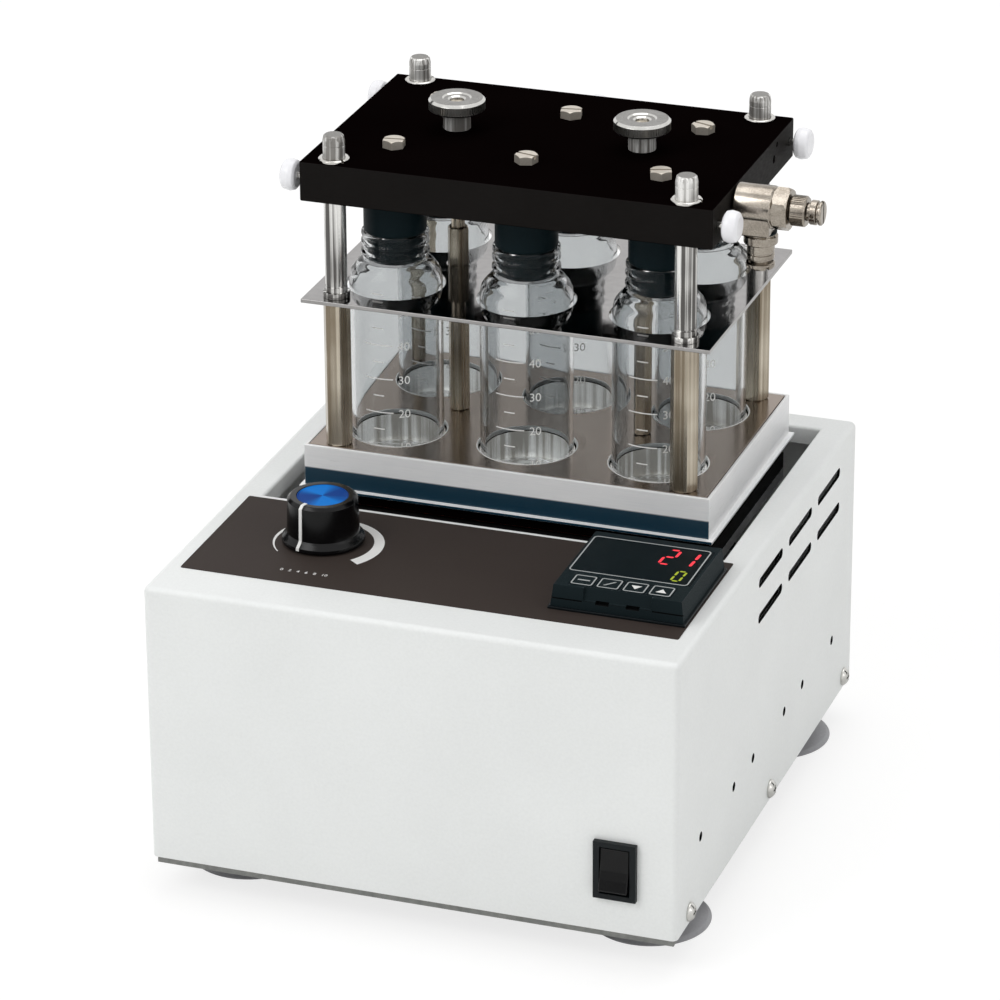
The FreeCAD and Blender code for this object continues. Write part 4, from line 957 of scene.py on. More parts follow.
@dataclass
class Studio:
    """The camera, the white room, the floor and the lamps."""

    camera_place: tuple[float, float, float] = (0.5389, -1.54774, 0.8534)
    yaw: float = 19.459
    pitch: float = -24.038
    roll: float = -0.324
    lens: float = 179.13
    shift: tuple[float, float] = (-0.00112, -0.00199)
    ambient: float = 0.62
    floor_radius: float = 6.0
    paper_glow: float = 0.68

    def build(self) -> None:
        """Sets up everything that isn't the object."""
        self.place_camera()
        self.light_room()
        self.lay_floor()
        self.hang_lamps()
        self.stand_cards()
        view = bpy.context.scene.view_settings
        view.view_transform = "Standard"

    def place_camera(self) -> None:
        """Stands the camera where the photograph was taken from."""
        yaw, pitch, roll = map(math.radians, (self.yaw, self.pitch, self.roll))
        ahead = Vector((-math.sin(yaw) * math.cos(pitch), math.cos(yaw) * math.cos(pitch), math.sin(pitch)))
        level = ahead.cross(Vector((0, 0, 1))).normalized()
        upward = level.cross(ahead)
        right = level * math.cos(roll) + upward * math.sin(roll)
        above = upward * math.cos(roll) - level * math.sin(roll)
        data = bpy.data.cameras.new("studio_camera")
        data.lens = self.lens
        data.sensor_width = 36
        data.shift_x, data.shift_y = self.shift
        data.clip_end = 50
        camera = bpy.data.objects.new("studio_camera", data)
        bpy.context.scene.collection.objects.link(camera)
        camera.matrix_world = Matrix.Translation(self.camera_place) @ Matrix(
            (right, above, -ahead)).transposed().to_4x4()
        bpy.context.scene.camera = camera

    def light_room(self) -> None:
        """Fills the room with even light, and shows it as plain white behind the object."""
        world = bpy.data.worlds.new("white_room")
        bpy.context.scene.world = world
        world.use_nodes = True
        tree = world.node_tree
        tree.nodes.clear()
        path = add_node(tree, "ShaderNodeLightPath")
        seen = add_node(tree, "ShaderNodeMath", {"operation": "MAXIMUM"},
                        {0: path.outputs["Is Camera Ray"], 1: path.outputs["Is Glossy Ray"]})
        seen = add_node(tree, "ShaderNodeMath", {"operation": "MAXIMUM"},
                        {0: seen.outputs[0], 1: path.outputs["Is Transmission Ray"]})
        strength = add_node(tree, "ShaderNodeMapRange", {"To Min": self.ambient, "To Max": 1.0},
                            {"Value": seen.outputs[0]})
        room = add_node(tree, "ShaderNodeBackground", {"Color": (1, 1, 1, 1)},
                        {"Strength": strength.outputs[0]})
        add_node(tree, "ShaderNodeOutputWorld", {}, {"Surface": room.outputs[0]})

    def lay_floor(self) -> None:
        """Lays a pale floor that reads as white paper and keeps the object's shadow."""
        release()
        bpy.ops.mesh.primitive_circle_add(vertices=64, radius=self.floor_radius, fill_type="NGON",
                                          location=(0, 0, -0.0002))
        floor = settle(bpy.context.active_object, "paper_floor")
        made = bpy.data.materials.new("white_paper")
        made.use_nodes = True
        tree = made.node_tree
        tree.nodes.clear()
        paper = add_node(tree, "ShaderNodeBsdfDiffuse", {"Color": linear("#F4F4F3")})
        path = add_node(tree, "ShaderNodeLightPath")
        share = add_node(tree, "ShaderNodeMath", {"operation": "MULTIPLY", 1: self.paper_glow},
                         {0: path.outputs["Is Camera Ray"]})
        light = add_node(tree, "ShaderNodeEmission", {"Strength": 1.12})
        both = add_node(tree, "ShaderNodeMixShader", {},
                        {0: share.outputs[0], 1: paper.outputs[0], 2: light.outputs[0]})
        add_node(tree, "ShaderNodeOutputMaterial", {}, {"Surface": both.outputs[0]})
        floor.data.materials.append(made)
        floor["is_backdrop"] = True

    def hang_lamps(self) -> None:
        """Hangs soft boxes: a large one above and in front on the left, a weak one on the right."""
        lamps = {
            "key_softbox": ((-1.1, -1.5, 1.9), 1.3, 17.0),
            "top_softbox": ((0.1, 0.5, 2.2), 1.6, 12.0),
            "fill_softbox": ((1.9, -0.5, 0.9), 1.0, 2.5),
        }
        for name, (place, size, power) in lamps.items():
            data = bpy.data.lights.new(name, "AREA")
            data.shape = "SQUARE"
            data.size = size
            data.energy = power
            lamp = bpy.data.objects.new(name, data)
            bpy.context.scene.collection.objects.link(lamp)
            lamp.location = place
            aim = Vector((0, 0, 0.12)) - Vector(place)
            lamp.rotation_euler = aim.to_track_quat("-Z", "Y").to_euler()

    def stand_cards(self) -> None:
        """Stands dark cards out of view, which give bright metal and glass their dark edges."""
        cards = {
            "left_card": ((-1.5, 0.6, 0.3), (0.5, 1.4), 60.0),
            "right_card": ((1.35, 0.9, 0.3), (0.45, 1.4), -50.0),
            "front_card": ((-0.25, -2.6, 0.25), (0.8, 0.7), 0.0),
        }
        for name, (place, size, turn) in cards.items():
            release()
            bpy.ops.mesh.primitive_plane_add(size=1, location=place, scale=(size[0], size[1], 1),
                                             rotation=(math.pi / 2, 0, math.radians(turn)))
            card = bpy.context.active_object
            card.scale = (size[0], size[1], 1)
            settle(card, name)
            made = bpy.data.materials.get("black_card") or bpy.data.materials.new("black_card")
            made.use_nodes = True
            shader = made.node_tree.nodes["Principled BSDF"]
            shader.inputs["Base Color"].default_value = linear("#16181A")
            shader.inputs["Roughness"].default_value = 0.9
            card.data.materials.append(made)
            card.visible_camera = False
            card.visible_diffuse = False
            card.visible_shadow = False
            card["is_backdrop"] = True


@dataclass
class Housing:
    """The bent cover, the panels and feet under it, and the film on its top."""

    body: str = "housing"
    sheet: float = 1.2
    bend: float = 2.2
    well_front: float = 87.0
    well_side: float = 11.0
    well_rear: float = 10.5
    well_deep: float = 7.0
    vent_long: float = 30.0
    vent_tall: float = 3.8
    vent_pitch: float = 37.7
    vent_drops: tuple[float, float] = (11.6, 25.6)
    vent_shift: float = 1.25
    tapped_radius: float = 1.8
    tapped_high: float = 27.5
    tapped_mid: float = 110.4
    tapped_pitch: float = 63.2
    tapped_pair: float = 39.6
    pot_hole: float = 4.7
    film_hole: float = 7.2
    film_thick: float = 0.3
    screw_head: float = 3.5
    screw_tall: float = 2.2

    def build(self) -> None:
        """Makes every piece of the housing."""
        self.low, self.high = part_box("cover")
        self.make_cover()
        self.make_panels()
        self.make_feet()
        self.make_screws()
        self.make_label()

    def make_cover(self) -> None:
        """Bends the cover from sheet and cuts its well, vents and holes."""
        low, high = self.low, self.high
        cover = block("cover_shell", low, high)
        pick_faces(cover, lambda place, normal: normal.z < -0.9 or normal.y > 0.9)
        bpy.ops.mesh.delete(type="FACE")
        left, right = low.x + self.well_side * MM, high.x - self.well_side * MM
        front, rear = low.y + self.well_front * MM, high.y - self.well_rear * MM
        for place, normal in (((left, 0, 0), (1, 0, 0)), ((right, 0, 0), (1, 0, 0)),
                              ((0, front, 0), (0, 1, 0)), ((0, rear, 0), (0, 1, 0))):
            edit_all(cover)
            bpy.ops.mesh.bisect(plane_co=place, plane_no=normal)
        pick_faces(cover, lambda place, normal: normal.z > 0.9 and left < place.x < right
                   and front < place.y < rear)
        bpy.ops.mesh.extrude_region_move(TRANSFORM_OT_translate={"value": (0, 0, -self.well_deep * MM)})
        bpy.ops.mesh.delete(type="FACE")
        top, tiny = high.z, 1e-5
        pick_edges(cover, lambda start, end: abs(start.y - low.y) < tiny and abs(end.y - low.y) < tiny
                   and (abs(start.z - top) < tiny and abs(end.z - top) < tiny
                        or abs(start.x - end.x) < tiny
                        and (start.x < low.x + tiny or start.x > high.x - tiny))
                   or abs(start.z - top) < tiny and abs(end.z - top) < tiny
                   and (start.x < low.x + tiny and end.x < low.x + tiny
                        or start.x > high.x - tiny and end.x > high.x - tiny))
        bpy.ops.mesh.bevel(offset=self.bend * MM, segments=5)
        inside_x, inside_y = (left - tiny, right + tiny), (front - tiny, rear + tiny)
        pick_edges(cover, lambda start, end: abs(start.z - top) < tiny and abs(end.z - top) < tiny
                   and all(inside_x[0] < p.x < inside_x[1] and inside_y[0] < p.y < inside_y[1]
                           for p in (start, end)))
        bpy.ops.mesh.bevel(offset=self.sheet * MM, segments=4)
        release()
        modify(cover, "SOLIDIFY", thickness=self.sheet * MM, offset=-1.0, use_even_offset=True)
        cut(cover, *self.openings())
        ease_edges(cover, 0.12 * MM, 1, 50)
        dress(cover, POWDER_COAT, self.body, "white_enamel", "cover")
        edge = 8 * MM
        # painted shade: the walls of the vents and tapped holes in both sides are black
        second_finish(cover, SHADE_BLACK, lambda place, normal: abs(normal.x) < 0.3
                      and max(place.x - low.x, high.x - place.x) > high.x - low.x - (self.sheet + 0.1) * MM
                      and low.z + edge < place.z < high.z - edge and low.y + edge < place.y < high.y - edge)

    def openings(self) -> list[Piece]:
        """Makes the shapes that the cover is cut with.

        Returns:
            Vents and tapped holes through both sides, and openings for the switch and the controls.
        """
        low, high = self.low, self.high
        across = (high.x - low.x) * 1.1
        start = (low.x + high.x) / 2 - across / 2
        mid_y = (low.y + self.well_front * MM + high.y - self.well_rear * MM) / 2
        vent = press("vent", oblong(self.vent_tall, self.vent_long, self.vent_tall / 2 - 0.01), across,
                     at(0, 0, 0), Facing.RIGHT)
        tools = []
        for step in (-1, 0, 1):
            y = mid_y + (self.vent_pitch * step - self.vent_shift) * MM
            tools += [twin(vent, "vent", at(start, y, high.z - drop * MM)) for drop in self.vent_drops]
            for side in (-1, 1):
                y = low.y + (self.tapped_mid + self.tapped_pitch * step + self.tapped_pair / 2 * side) * MM
                z = low.z + self.tapped_high * MM
                tools.append(rod("tapped", self.tapped_radius * MM, at(start, y, z),
                                 at(start + across, y, z), 24))
        bpy.data.objects.remove(vent)
        switch_low, switch_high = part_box("switch_housing")
        inset, reach = 1.2 * MM, 5 * MM
        tools.append(block("switch_hole", at(switch_low.x + inset, low.y - reach, switch_low.z + inset),
                           at(switch_high.x - inset, low.y + reach, switch_high.z - inset)))
        case_low, case_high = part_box("controller_case")
        tools.append(block("case_hole", at(case_low.x, case_low.y, high.z - reach),
                           at(case_high.x, case_high.y, high.z + reach)))
        knob = centre_of("speed_knob")
        tools.append(rod("pot_hole", self.pot_hole * MM, at(knob.x, knob.y, high.z - reach),
                         at(knob.x, knob.y, high.z + reach)))
        return tools

    def make_panels(self) -> None:
        """Makes the rear panel and the folded base."""
        dress(refine("rear_wall", "rear_panel", 0.15, 1), POWDER_COAT, self.body, "white_enamel")
        dress(refine("base_tray", "base_plate", 0.3, 2), ZINC_PLATE, self.body, "zinc_steel")

    def make_feet(self) -> None:
        """Turns one suction foot and stands it under each corner."""
        boxes = solid_boxes("suction_feet")
        rim = (boxes[0][1].x - boxes[0][0].x) / 2 / MM
        top = boxes[0][1].z / MM - 0.05
        profile = [(0, 3.2), (9, 2.6, 3), (rim - 1.9, 0.1, 1), (rim - 0.2, 0, 0.3), (rim, 0.5, 0.3),
                   (rim - 1.3, 1.7, 1.5), (rim * 0.65, 4.6, 6), (rim * 0.44, 7.8, 2), (rim * 0.41, top, 0.3),
                   (0, top)]
        foot = lathe("suction_foot_1", profile, at(0, 0, 0), steps=96)
        for n, (low, high) in enumerate(boxes, 1):
            place = at((low.x + high.x) / 2, (low.y + high.y) / 2, 0)
            copy = twin(foot, f"suction_foot_{n}_cup", place)
            dress(copy, GREY_RUBBER, self.body, "grey_rubber", "suction_feet")
        bpy.data.objects.remove(foot)

    def make_screws(self) -> None:
        """Turns one pan head screw with a cross recess and sets it in every place."""
        head, tall = self.screw_head, self.screw_tall
        shank, long = 1.9, -7.8
        profile = [(0, tall), (head * 0.6, tall, 2.0), (head, tall * 0.35, 0.8), (head, 0, 0.1), (shank, 0),
                   (shank, long, 0.3), (0, long)]
        screw = lathe("pan_screw", profile, at(0, 0, 0), steps=48)
        cross = [block("arm", at(-half_x, -half_y, tall * 0.42 * MM), at(half_x, half_y, tall * 2 * MM))
                 for half_x, half_y in ((1.7 * MM, 0.36 * MM), (0.36 * MM, 1.7 * MM))]
        for arm in cross:
            cut(screw, arm)
        ease_edges(screw, 0.06 * MM, 1, 60)
        for n, (low, high) in enumerate(solid_boxes("housing_screws"), 1):
            place = (low + high) / 2
            if high.x > self.high.x:
                copy_facing, place.x = Facing.RIGHT, self.high.x
            elif low.x < self.low.x:
                copy_facing, place.x = Facing.LEFT, self.low.x
            else:
                copy_facing, place.y = Facing.BACK, self.high.y
            name = f"cover_screw_{n}"
            copy = stand(twin(screw, name, at(0, 0, 0)), name, place, copy_facing)
            dress(copy, BRIGHT_NICKEL, self.body, "bright_screws", "housing_screws")
        bpy.data.objects.remove(screw)

    def make_label(self) -> None:
        """Lays the dark film on the cover's top, with holes for the controller and the knob."""
        low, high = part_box("panel_label")
        middle = (low + high) / 2
        wide, deep = (high.x - low.x) / MM, (high.y - low.y) / MM
        film = press("panel_film", oblong(wide, deep, 0.6), self.film_thick * MM,
                     at(middle.x, middle.y, low.z))
        case_low, case_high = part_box("controller_case")
        knob = centre_of("speed_knob")
        under, over = low.z - MM, high.z + MM
        cut(film, block("case_hole", at(case_low.x, case_low.y, under), at(case_high.x, case_high.y, over)))
        cut(film, rod("pot_hole", self.film_hole * MM, at(knob.x, knob.y, under), at(knob.x, knob.y, over)))
        dress(film, LABEL_FILM, self.body, "label_film", "panel_label")


@dataclass
class SpeedKnob:
    """The speed knob with its spun cap, its pointer, and the scale printed round it."""

    body: str = "speed_knob"
    wall: float = 13.0
    skirt: float = 14.85
    tall: float = 17.55
    cap: float = 9.2
    hollow: float = 8.6
    flats: int = 12
    pointer_wide: float = 1.25
    pointer_angle: float = -17.0
    scale_shift: tuple[float, float] = (1.1, -1.9)
    scale_inner: float = 17.7
    scale_start: float = 137.0
    scale_sweep: float = 261.0
    scale_thin: float = 0.3
    scale_thick: float = 4.6
    numbers: str = "0   2   4   6   8   10"
    numbers_tall: float = 1.6
    numbers_shift: tuple[float, float] = (2.2, -26.6)

    def build(self) -> None:
        """Makes the knob and its scale."""
        low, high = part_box("speed_knob")
        self.top = high.z
        self.foot = at((low.x + high.x) / 2, (low.y + high.y) / 2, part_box("panel_label")[1].z)
        self.make_body()
        self.make_cap()
        self.make_pointer()
        self.print_scale()
        coat_node("speed_potentiometer", ZINC_PLATE)

    def make_body(self) -> None:
        """Turns the knob, gives its grip shallow flats and flares its skirt."""
        wall, skirt, tall = self.wall, self.skirt, self.tall
        rim = self.cap + 0.1
        profile = [(0, 4), (self.hollow, 4), (self.hollow, 2.2), (wall - 0.1, 2.2), (wall, 4.2, 0.5),
                   (wall - 0.4, tall - 1.1, 0.4), (wall - 1.5, tall, 0.5), (rim, tall, 0.2),
                   (rim, tall - 0.5), (0, tall - 0.5)]
        grip = lathe("knob_grip", profile, self.foot, steps=144)
        reach = (wall + 0.28) / math.cos(math.pi / self.flats) * MM
        facets = rod("facets", reach * 0.985, self.foot, self.foot + at(0, 0, tall * 2 * MM), self.flats)
        pick_edges(facets, lambda start, end: abs(start.z - end.z) > MM)
        bpy.ops.mesh.bevel(offset=1.4 * MM, segments=3)
        release()
        cut(grip, facets, keep="INTERSECT")
        profile = [(self.hollow, 0.6), (skirt - 0.2, 0.6, 0.2), (skirt, 1.0, 0.3), (skirt - 0.1, 2.2, 0.5),
                   (wall + 0.5, 3.5, 1.2), (wall - 0.2, 4.6), (self.hollow, 4.6)]
        flare = lathe("knob_flare", profile, self.foot, steps=144, ring=True)
        knob = join("knob_body", [grip, flare])
        shade(knob, 30)
        dress(knob, GLOSSY_BLACK, self.body, "knob_black", "speed_knob")

    def make_cap(self) -> None:
        """Turns the thin blue cap with a bright rim."""
        cap, tall = self.cap, self.tall
        profile = [(0, tall - 0.6), (cap, tall - 0.6), (cap, tall - 0.15, 0.12),
                   (cap - 0.35, tall - 0.05, 0.1), (cap - 0.6, tall - 0.28, 0.1), (0, tall - 0.22)]
        disc = lathe("knob_cap", profile, self.foot, steps=96)
        dress(disc, BLUE_CAP, self.body, "knob_black")

    def make_pointer(self) -> None:
        """Lays a white line from the cap's edge over the shoulder and down to the skirt."""
        wall, skirt, tall, proud = self.wall, self.skirt, self.tall, 0.08
        path = [(self.cap + 0.3, tall + 0.02), (wall - 1.4, tall + 0.02, 0.5),
                (wall - 0.35 + proud, tall - 1.1, 0.4), (wall + proud, 4.4, 0.6), (wall + 0.6, 3.5, 0.6),
                (skirt - 0.1, 2.2, 0.4), (skirt + 0.03, 1.2)]
        half = self.pointer_wide / 2 * MM
        points = [Vector((-half, -point.x, point.y)) for point in rounded(path, False)]
        line = draw_chain(points, closed=False)
        bpy.ops.mesh.extrude_region_move(TRANSFORM_OT_translate={"value": (half * 2, 0, 0)})
        stand(line, "knob_pointer", self.foot)
        modify(line, "SOLIDIFY", thickness=0.3 * MM, offset=0.0)
        edit_all(line)
        bpy.ops.mesh.normals_make_consistent(inside=False)
        turn_about(line, self.pointer_angle, self.foot)
        shade(line)
        dress(line, WHITE_INK, self.body, "knob_black")

    def print_scale(self) -> None:
        """Prints the crescent that widens clockwise round the knob, and a row of plain numbers."""
        steps = 64
        inner, outer = [], []
        for n in range(steps + 1):
            share = n / steps
            angle = math.radians(-self.scale_start - self.scale_sweep * share)
            width = self.scale_thin + (self.scale_thick - self.scale_thin) * share
            for ring, radius in ((inner, self.scale_inner), (outer, self.scale_inner + width)):
                ring.append((math.cos(angle) * radius, math.sin(angle) * radius))
        middle = self.foot + at(self.scale_shift[0] * MM, self.scale_shift[1] * MM, 0)
        crescent = press("speed_scale", inner + outer[::-1], 0.04 * MM, middle)
        dress(crescent, WHITE_INK, "housing", "label_film")
        place = middle + at(self.numbers_shift[0] * MM, self.numbers_shift[1] * MM, 0)
        numbers = printed_text("speed_numbers", self.numbers, self.numbers_tall, place)
        dress(numbers, WHITE_INK, "housing", "label_film")


def printed_text(name: str, text: str, tall: float, place: Vector, facing: Facing = Facing.UP) -> Piece:
    """Prints plain numbers as a thin raised skin.

    Args:
        name: The piece's name.
        text: The numbers.
        tall: Their height in millimetres.
        place: The middle of their foot in metres.
        facing: The way they face.

    Returns:
        The printed numbers.
    """
    release()
    bpy.ops.object.text_add(location=(0, 0, 0))
    piece = bpy.context.active_object
    piece.data.body = text
    piece.data.align_x = "CENTER"
    piece.data.size = tall / 0.69 * MM
    piece.data.extrude = 0.02 * MM
    piece.data.resolution_u = 4
    bpy.ops.object.convert(target="MESH")
    piece = bpy.context.active_object
    stand(piece, name, place, facing)
    edit_all(piece)
    bpy.ops.mesh.remove_doubles(threshold=1e-6)
    release()
    return piece


@dataclass
class Controller:
    """The temperature controller: frame, smoked window, keys and what is printed on them."""

    body: str = "housing"
    skin: float = 0.04
    line: float = 0.45
    top_shrink: tuple[float, float] = (0.965, 0.975)
    top_shift: float = 0.25
    flank_high: float = 1.6
    tab_wide: float = 11.8
    gasket_over: float = 0.9
    window_ring: tuple[float, float, float, float] = (39.9, -66.2, 83.0, -36.3)
    digit_lean: float = 0.07
    digit_thick: float = 0.26
    digit_gap: float = 0.48

    def build(self) -> None:
        """Makes the controller."""
        self.low, self.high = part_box("controller_bezel")
        self.make_frame()
        self.make_window()
        self.light_digits()
        self.make_keys()
        coat_node("controller_case", TEXTURED_ABS)

    def make_frame(self) -> None:
        """Builds the frame with sloping flanks, two tabs and two small slots in front."""
        low, high = self.low, self.high
        rise = low.z + self.flank_high * MM
        shell = block("controller_frame", low, at(high.x, high.y, rise))
        middle = (low + high) / 2
        pick_faces(shell, lambda place, normal: normal.z > 0.9)
        move = (0, self.top_shift * MM, high.z - rise)
        bpy.ops.mesh.extrude_region_move(TRANSFORM_OT_translate={"value": move})
        bpy.ops.transform.resize(value=(self.top_shrink[0], self.top_shrink[1], 1),
                                 center_override=(middle.x, middle.y + self.top_shift * MM, high.z))
        release()
        half, tab = (high.x - low.x) / 2 / MM, self.tab_wide
        slope = [(-3.9, -25), (-4.3, -23.0, 0.4), (-8.95, -21.5), (-8.95, -25)]
        cut(shell, press("slope", slope, (half - tab) * 2 * MM,
                         at(middle.x - (half - tab) * MM, middle.y, low.z), Facing.RIGHT))
        cut(shell, *[block("slot", at(middle.x + x * MM, low.y - MM, low.z + 3.3 * MM),
                           at(middle.x + (x + 4.8) * MM, low.y + 2.4 * MM, low.z + 4.6 * MM))
                     for x in (-7.8, 3.2)])
        cut(shell, *[block("groove", at(middle.x + x * MM, low.y - MM, low.z + 3.7 * MM),
                           at(middle.x + (x + tab) * MM, low.y + 0.9 * MM, low.z + 4.1 * MM))
                     for x in (-half - 0.5, half - tab + 0.5)])
        window_low, window_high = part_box("controller_window")
        play = at(0.1 * MM, 0.1 * MM, 0)
        cut(shell, block("recess", window_low - play, window_high + play + at(0, 0, MM)))
        for n in range(1, 5):
            key_low, key_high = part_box(f"controller_key_{n}")
            cut(shell, block("key_hole", key_low - at(0.2 * MM, 0.2 * MM, 0.9 * MM),
                             key_high + at(0.2 * MM, 0.2 * MM, MM)))
        ease_edges(shell, 0.35 * MM, 2, 20)
        dress(shell, TEXTURED_ABS, self.body, "controller_black", "controller_bezel")
        # painted light: the sloping flanks are a paler grey
        second_finish(shell, LIT_FLANK_ABS, lambda place, normal: abs(normal.x) > 0.3 and normal.z > 0.2
                      and place.z > high.z - MM and abs(place.x - middle.x) > 20 * MM)
        # painted shade: the walls of the slots and grooves in front are black
        second_finish(shell, SHADE_BLACK, lambda place, normal: low.z + 3.2 * MM < place.z < low.z + 4.2 * MM
                      and place.y > low.y + 0.3 * MM and place.y < low.y + 3 * MM)
        over = self.gasket_over * MM
        gasket = block("controller_gasket", low - at(over, over, 0),
                       at(high.x + over, high.y + over, low.z + 1.0 * MM))
        ease_edges(gasket, 0.3 * MM)
        dress(gasket, SWITCH_BLACK, self.body, "controller_black")

    def make_window(self) -> None:
        """Lays the smoked window and the line printed round it."""
        window = refine("display_window", "controller_window", 0.1, 1)
        dress(window, SMOKED_ACRYLIC, self.body, "controller_window")
        left, front, right, rear = self.window_ring
        self.ring("window_line", ((left + right) / 2, (front + rear) / 2), (right - left, rear - front), 1.6,
                  self.high.z, self.body)

    def ring(self, name: str, middle: tuple[float, float], size: tuple[float, float], radius: float, z: float,
             body: str) -> None:
        """Prints a thin rounded rectangle.

        Args:
            name: The piece's name.
            middle: Its middle in millimetres.
            size: Its width and depth in millimetres.
            radius: The radius of its corners in millimetres.
            z: The surface that it is printed on, in metres.
            body: The body it rides on.
        """
        points = rounded(oblong(*size, radius), True)
        ring = draw_chain([Vector((point.x, point.y, 0)) for point in points], closed=True)
        bpy.ops.mesh.inset(thickness=self.line * MM)
        bpy.ops.mesh.delete(type="FACE")
        bpy.ops.mesh.select_all(action="SELECT")
        bpy.ops.mesh.extrude_region_move(TRANSFORM_OT_translate={"value": (0, 0, self.skin * MM)})
        bpy.ops.mesh.select_all(action="SELECT")
        bpy.ops.mesh.normals_make_consistent(inside=False)
        stand(ring, name, at(middle[0] * MM, middle[1] * MM, z))
        dress(ring, GREY_INK, body, "controller_black")

    def digit(self, name: str, lit: str, left: float, front: float, wide: float, tall: float,
              finish: Finish) -> None:
        """Lights the segments of one digit.

        Args:
            name: The digit's name.
            lit: The lit segments by their usual letters, a for the top one round to f, g in the middle.
            left: The digit's left edge in millimetres.
            front: Its lower edge in millimetres.
            wide: Its width in millimetres.
            tall: Its height in millimetres.
            finish: The finish of its light.
        """
        thick = wide * self.digit_thick
        side, gap = thick / 2, thick * self.digit_gap
        half = tall / 2
        spans = {"a": (0, tall, wide, tall), "b": (wide, half, wide, tall), "c": (wide, 0, wide, half),
                 "d": (0, 0, wide, 0), "e": (0, 0, 0, half), "f": (0, half, 0, tall),
                 "g": (0, half, wide, half)}
        for letter in lit:
            x1, y1, x2, y2 = spans[letter]
            if y1 == y2:
                start, end = x1 + gap, x2 - gap
                outline = [(start, y1), (start + side, y1 + side), (end - side, y1 + side),
                           (end, y1), (end - side, y1 - side), (start + side, y1 - side)]
            else:
                start, end = y1 + gap, y2 - gap
                outline = [(x1, start), (x1 + side, start + side), (x1 + side, end - side),
                           (x1, end), (x1 - side, end - side), (x1 - side, start + side)]
            leaned = [(x + y * self.digit_lean, y) for x, y in outline]
            segment = press(f"{name}_{letter}", leaned, self.skin * MM,
                            at(left * MM, front * MM, self.high.z))
            dress(segment, finish, self.body, "controller_window")

    def light_digits(self) -> None:
        """Lights a large red reading and a small green one below it."""
        self.digit("reading_tens", "abged", 67.9, -51.3, 3.9, 12.0, RED_SEGMENT)
        self.digit("reading_units", "bc", 74.9, -51.0, 4.1, 11.6, RED_SEGMENT)
        self.digit("setting_units", "abcdef", 76.1, -63.4, 3.0, 8.0, GREEN_SEGMENT)

    def make_keys(self) -> None:
        """Makes the four keys with their outlines and plain marks."""
        for n in range(1, 5):
            node = f"controller_key_{n}"
            key = refine(f"key_pad_{n}", node, 0.2, 2)
            dress(key, TEXTURED_ABS, node, "key_rubber")
            low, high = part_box(node)
            middle = (low + high) / 2
            size = ((high.x - low.x) / MM - 0.5, (high.y - low.y) / MM - 0.6)
            self.ring(f"key_line_{n}", (middle.x / MM, middle.y / MM), size, 0.9, high.z, node)
            self.mark_key(n, middle, high.z, node)

    def mark_key(self, n: int, middle: Vector, z: float, body: str) -> None:
        """Prints a plain mark on a key.

        Args:
            n: The key's number from the left.
            middle: The key's middle.
            z: The height of its top.
            body: The body it rides on.
        """
        marks = {
            1: [(-2.2, -0.35), (2.2, -0.35), (2.2, 0.35), (-2.2, 0.35)],
            2: [(-2.0, -1.7), (-1.2, -1.7), (2.0, 1.7), (1.2, 1.7)],
            3: [(-1.9, 1.3), (0, -1.5), (1.9, 1.3)],
            4: [(-1.9, -1.4), (1.9, -1.4), (0, 1.4)],
        }
        mark = press(f"key_mark_{n}", marks[n], self.skin * MM, at(middle.x, middle.y, z))
        dress(mark, GREY_INK if n < 3 else WHITE_INK, body, "key_rubber")


@dataclass
class PowerEntry:
    """The rocker switch in front and the power inlet at the back."""

    tilt: float = -10.0
    pivot: float = 1.5

    def build(self) -> None:
        """Makes the switch and the inlet."""
        shell = refine("switch_frame", "switch_housing", 0.45, 3, 60)
        dress(shell, SWITCH_BLACK, "housing", "switch_black")
        self.make_rocker()
        inlet = refine("inlet_shell", "power_inlet", 0.2, 1, 60)
        dress(inlet, SWITCH_BLACK, "housing", "switch_black")
        low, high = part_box("power_inlet")
        middle = (low + high) / 2
        second_finish(inlet, BRIGHT_NICKEL, lambda place, normal: place.y > high.y - 12.5 * MM
                      and place.y < high.y - 3 * MM
                      and abs(place.x - middle.x) < 8.3 * MM and abs(place.z - middle.z) < 6 * MM)

    def make_rocker(self) -> None:
        """Presses the rocker with two slightly dished faces and soft edges."""
        low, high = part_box("switch_rocker")
        node_low, node_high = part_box("switch_housing")
        place = at(low.x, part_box("cover")[0].y + self.pivot * MM, (node_low.z + node_high.z) / 2)
        outline = [(-8, -4.6, 0.5), (-4, -4.0, 14), (0, -3.7, 8), (4, -4.0, 14), (8, -4.6, 0.5),
                   (7.7, -2.2), (2.4, 3.2), (-2.4, 3.2), (-7.7, -2.2)]
        rocker = press("rocker_cap", outline, high.x - low.x, place, Facing.RIGHT, steps=5)
        turn_about(rocker, self.tilt, place, "X")
        ease_edges(rocker, 0.4 * MM, 3, 50)
        dress(rocker, GLOSSY_BLACK, "rocker", "switch_black", "switch_rocker")


@dataclass
class Drive:
    """What turns below the tray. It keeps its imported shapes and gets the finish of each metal."""

    def build(self) -> None:
        """Gives each driven piece its finish."""
        finishes = {
            "mechanism_deck": ZINC_PLATE, "crank_bearings": BRONZE, "platform_bearings": BRONZE,
            "drive_motor": MOTOR_STEEL, "motor_pulley": MILLED_ALUMINIUM, "crank_pulley": MILLED_ALUMINIUM,
            "drive_belt": BELT_RUBBER, "drive_crank": DARK_STEEL, "idler_crank_left": DARK_STEEL,
            "idler_crank_right": DARK_STEEL, "idler_crank_rear": DARK_STEEL,
            # painted shade: the insulation board is black
            "platform_plate": MILLED_ALUMINIUM, "insulation_board": SHADED_FIBRE_BOARD, "heater_mat": SILICONE_MAT,
            "heat_block": BORED_ALUMINIUM,
        }
        for node, finish in finishes.items():
            coat_node(node, finish)
        vials = vial_middles()
        second_finish(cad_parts["heat_block"], BLACK_ANODISED, lambda place, normal: normal.z < -0.9
                      or all((place - vial).xy.length > POCKET_REACH * MM for vial in vials))


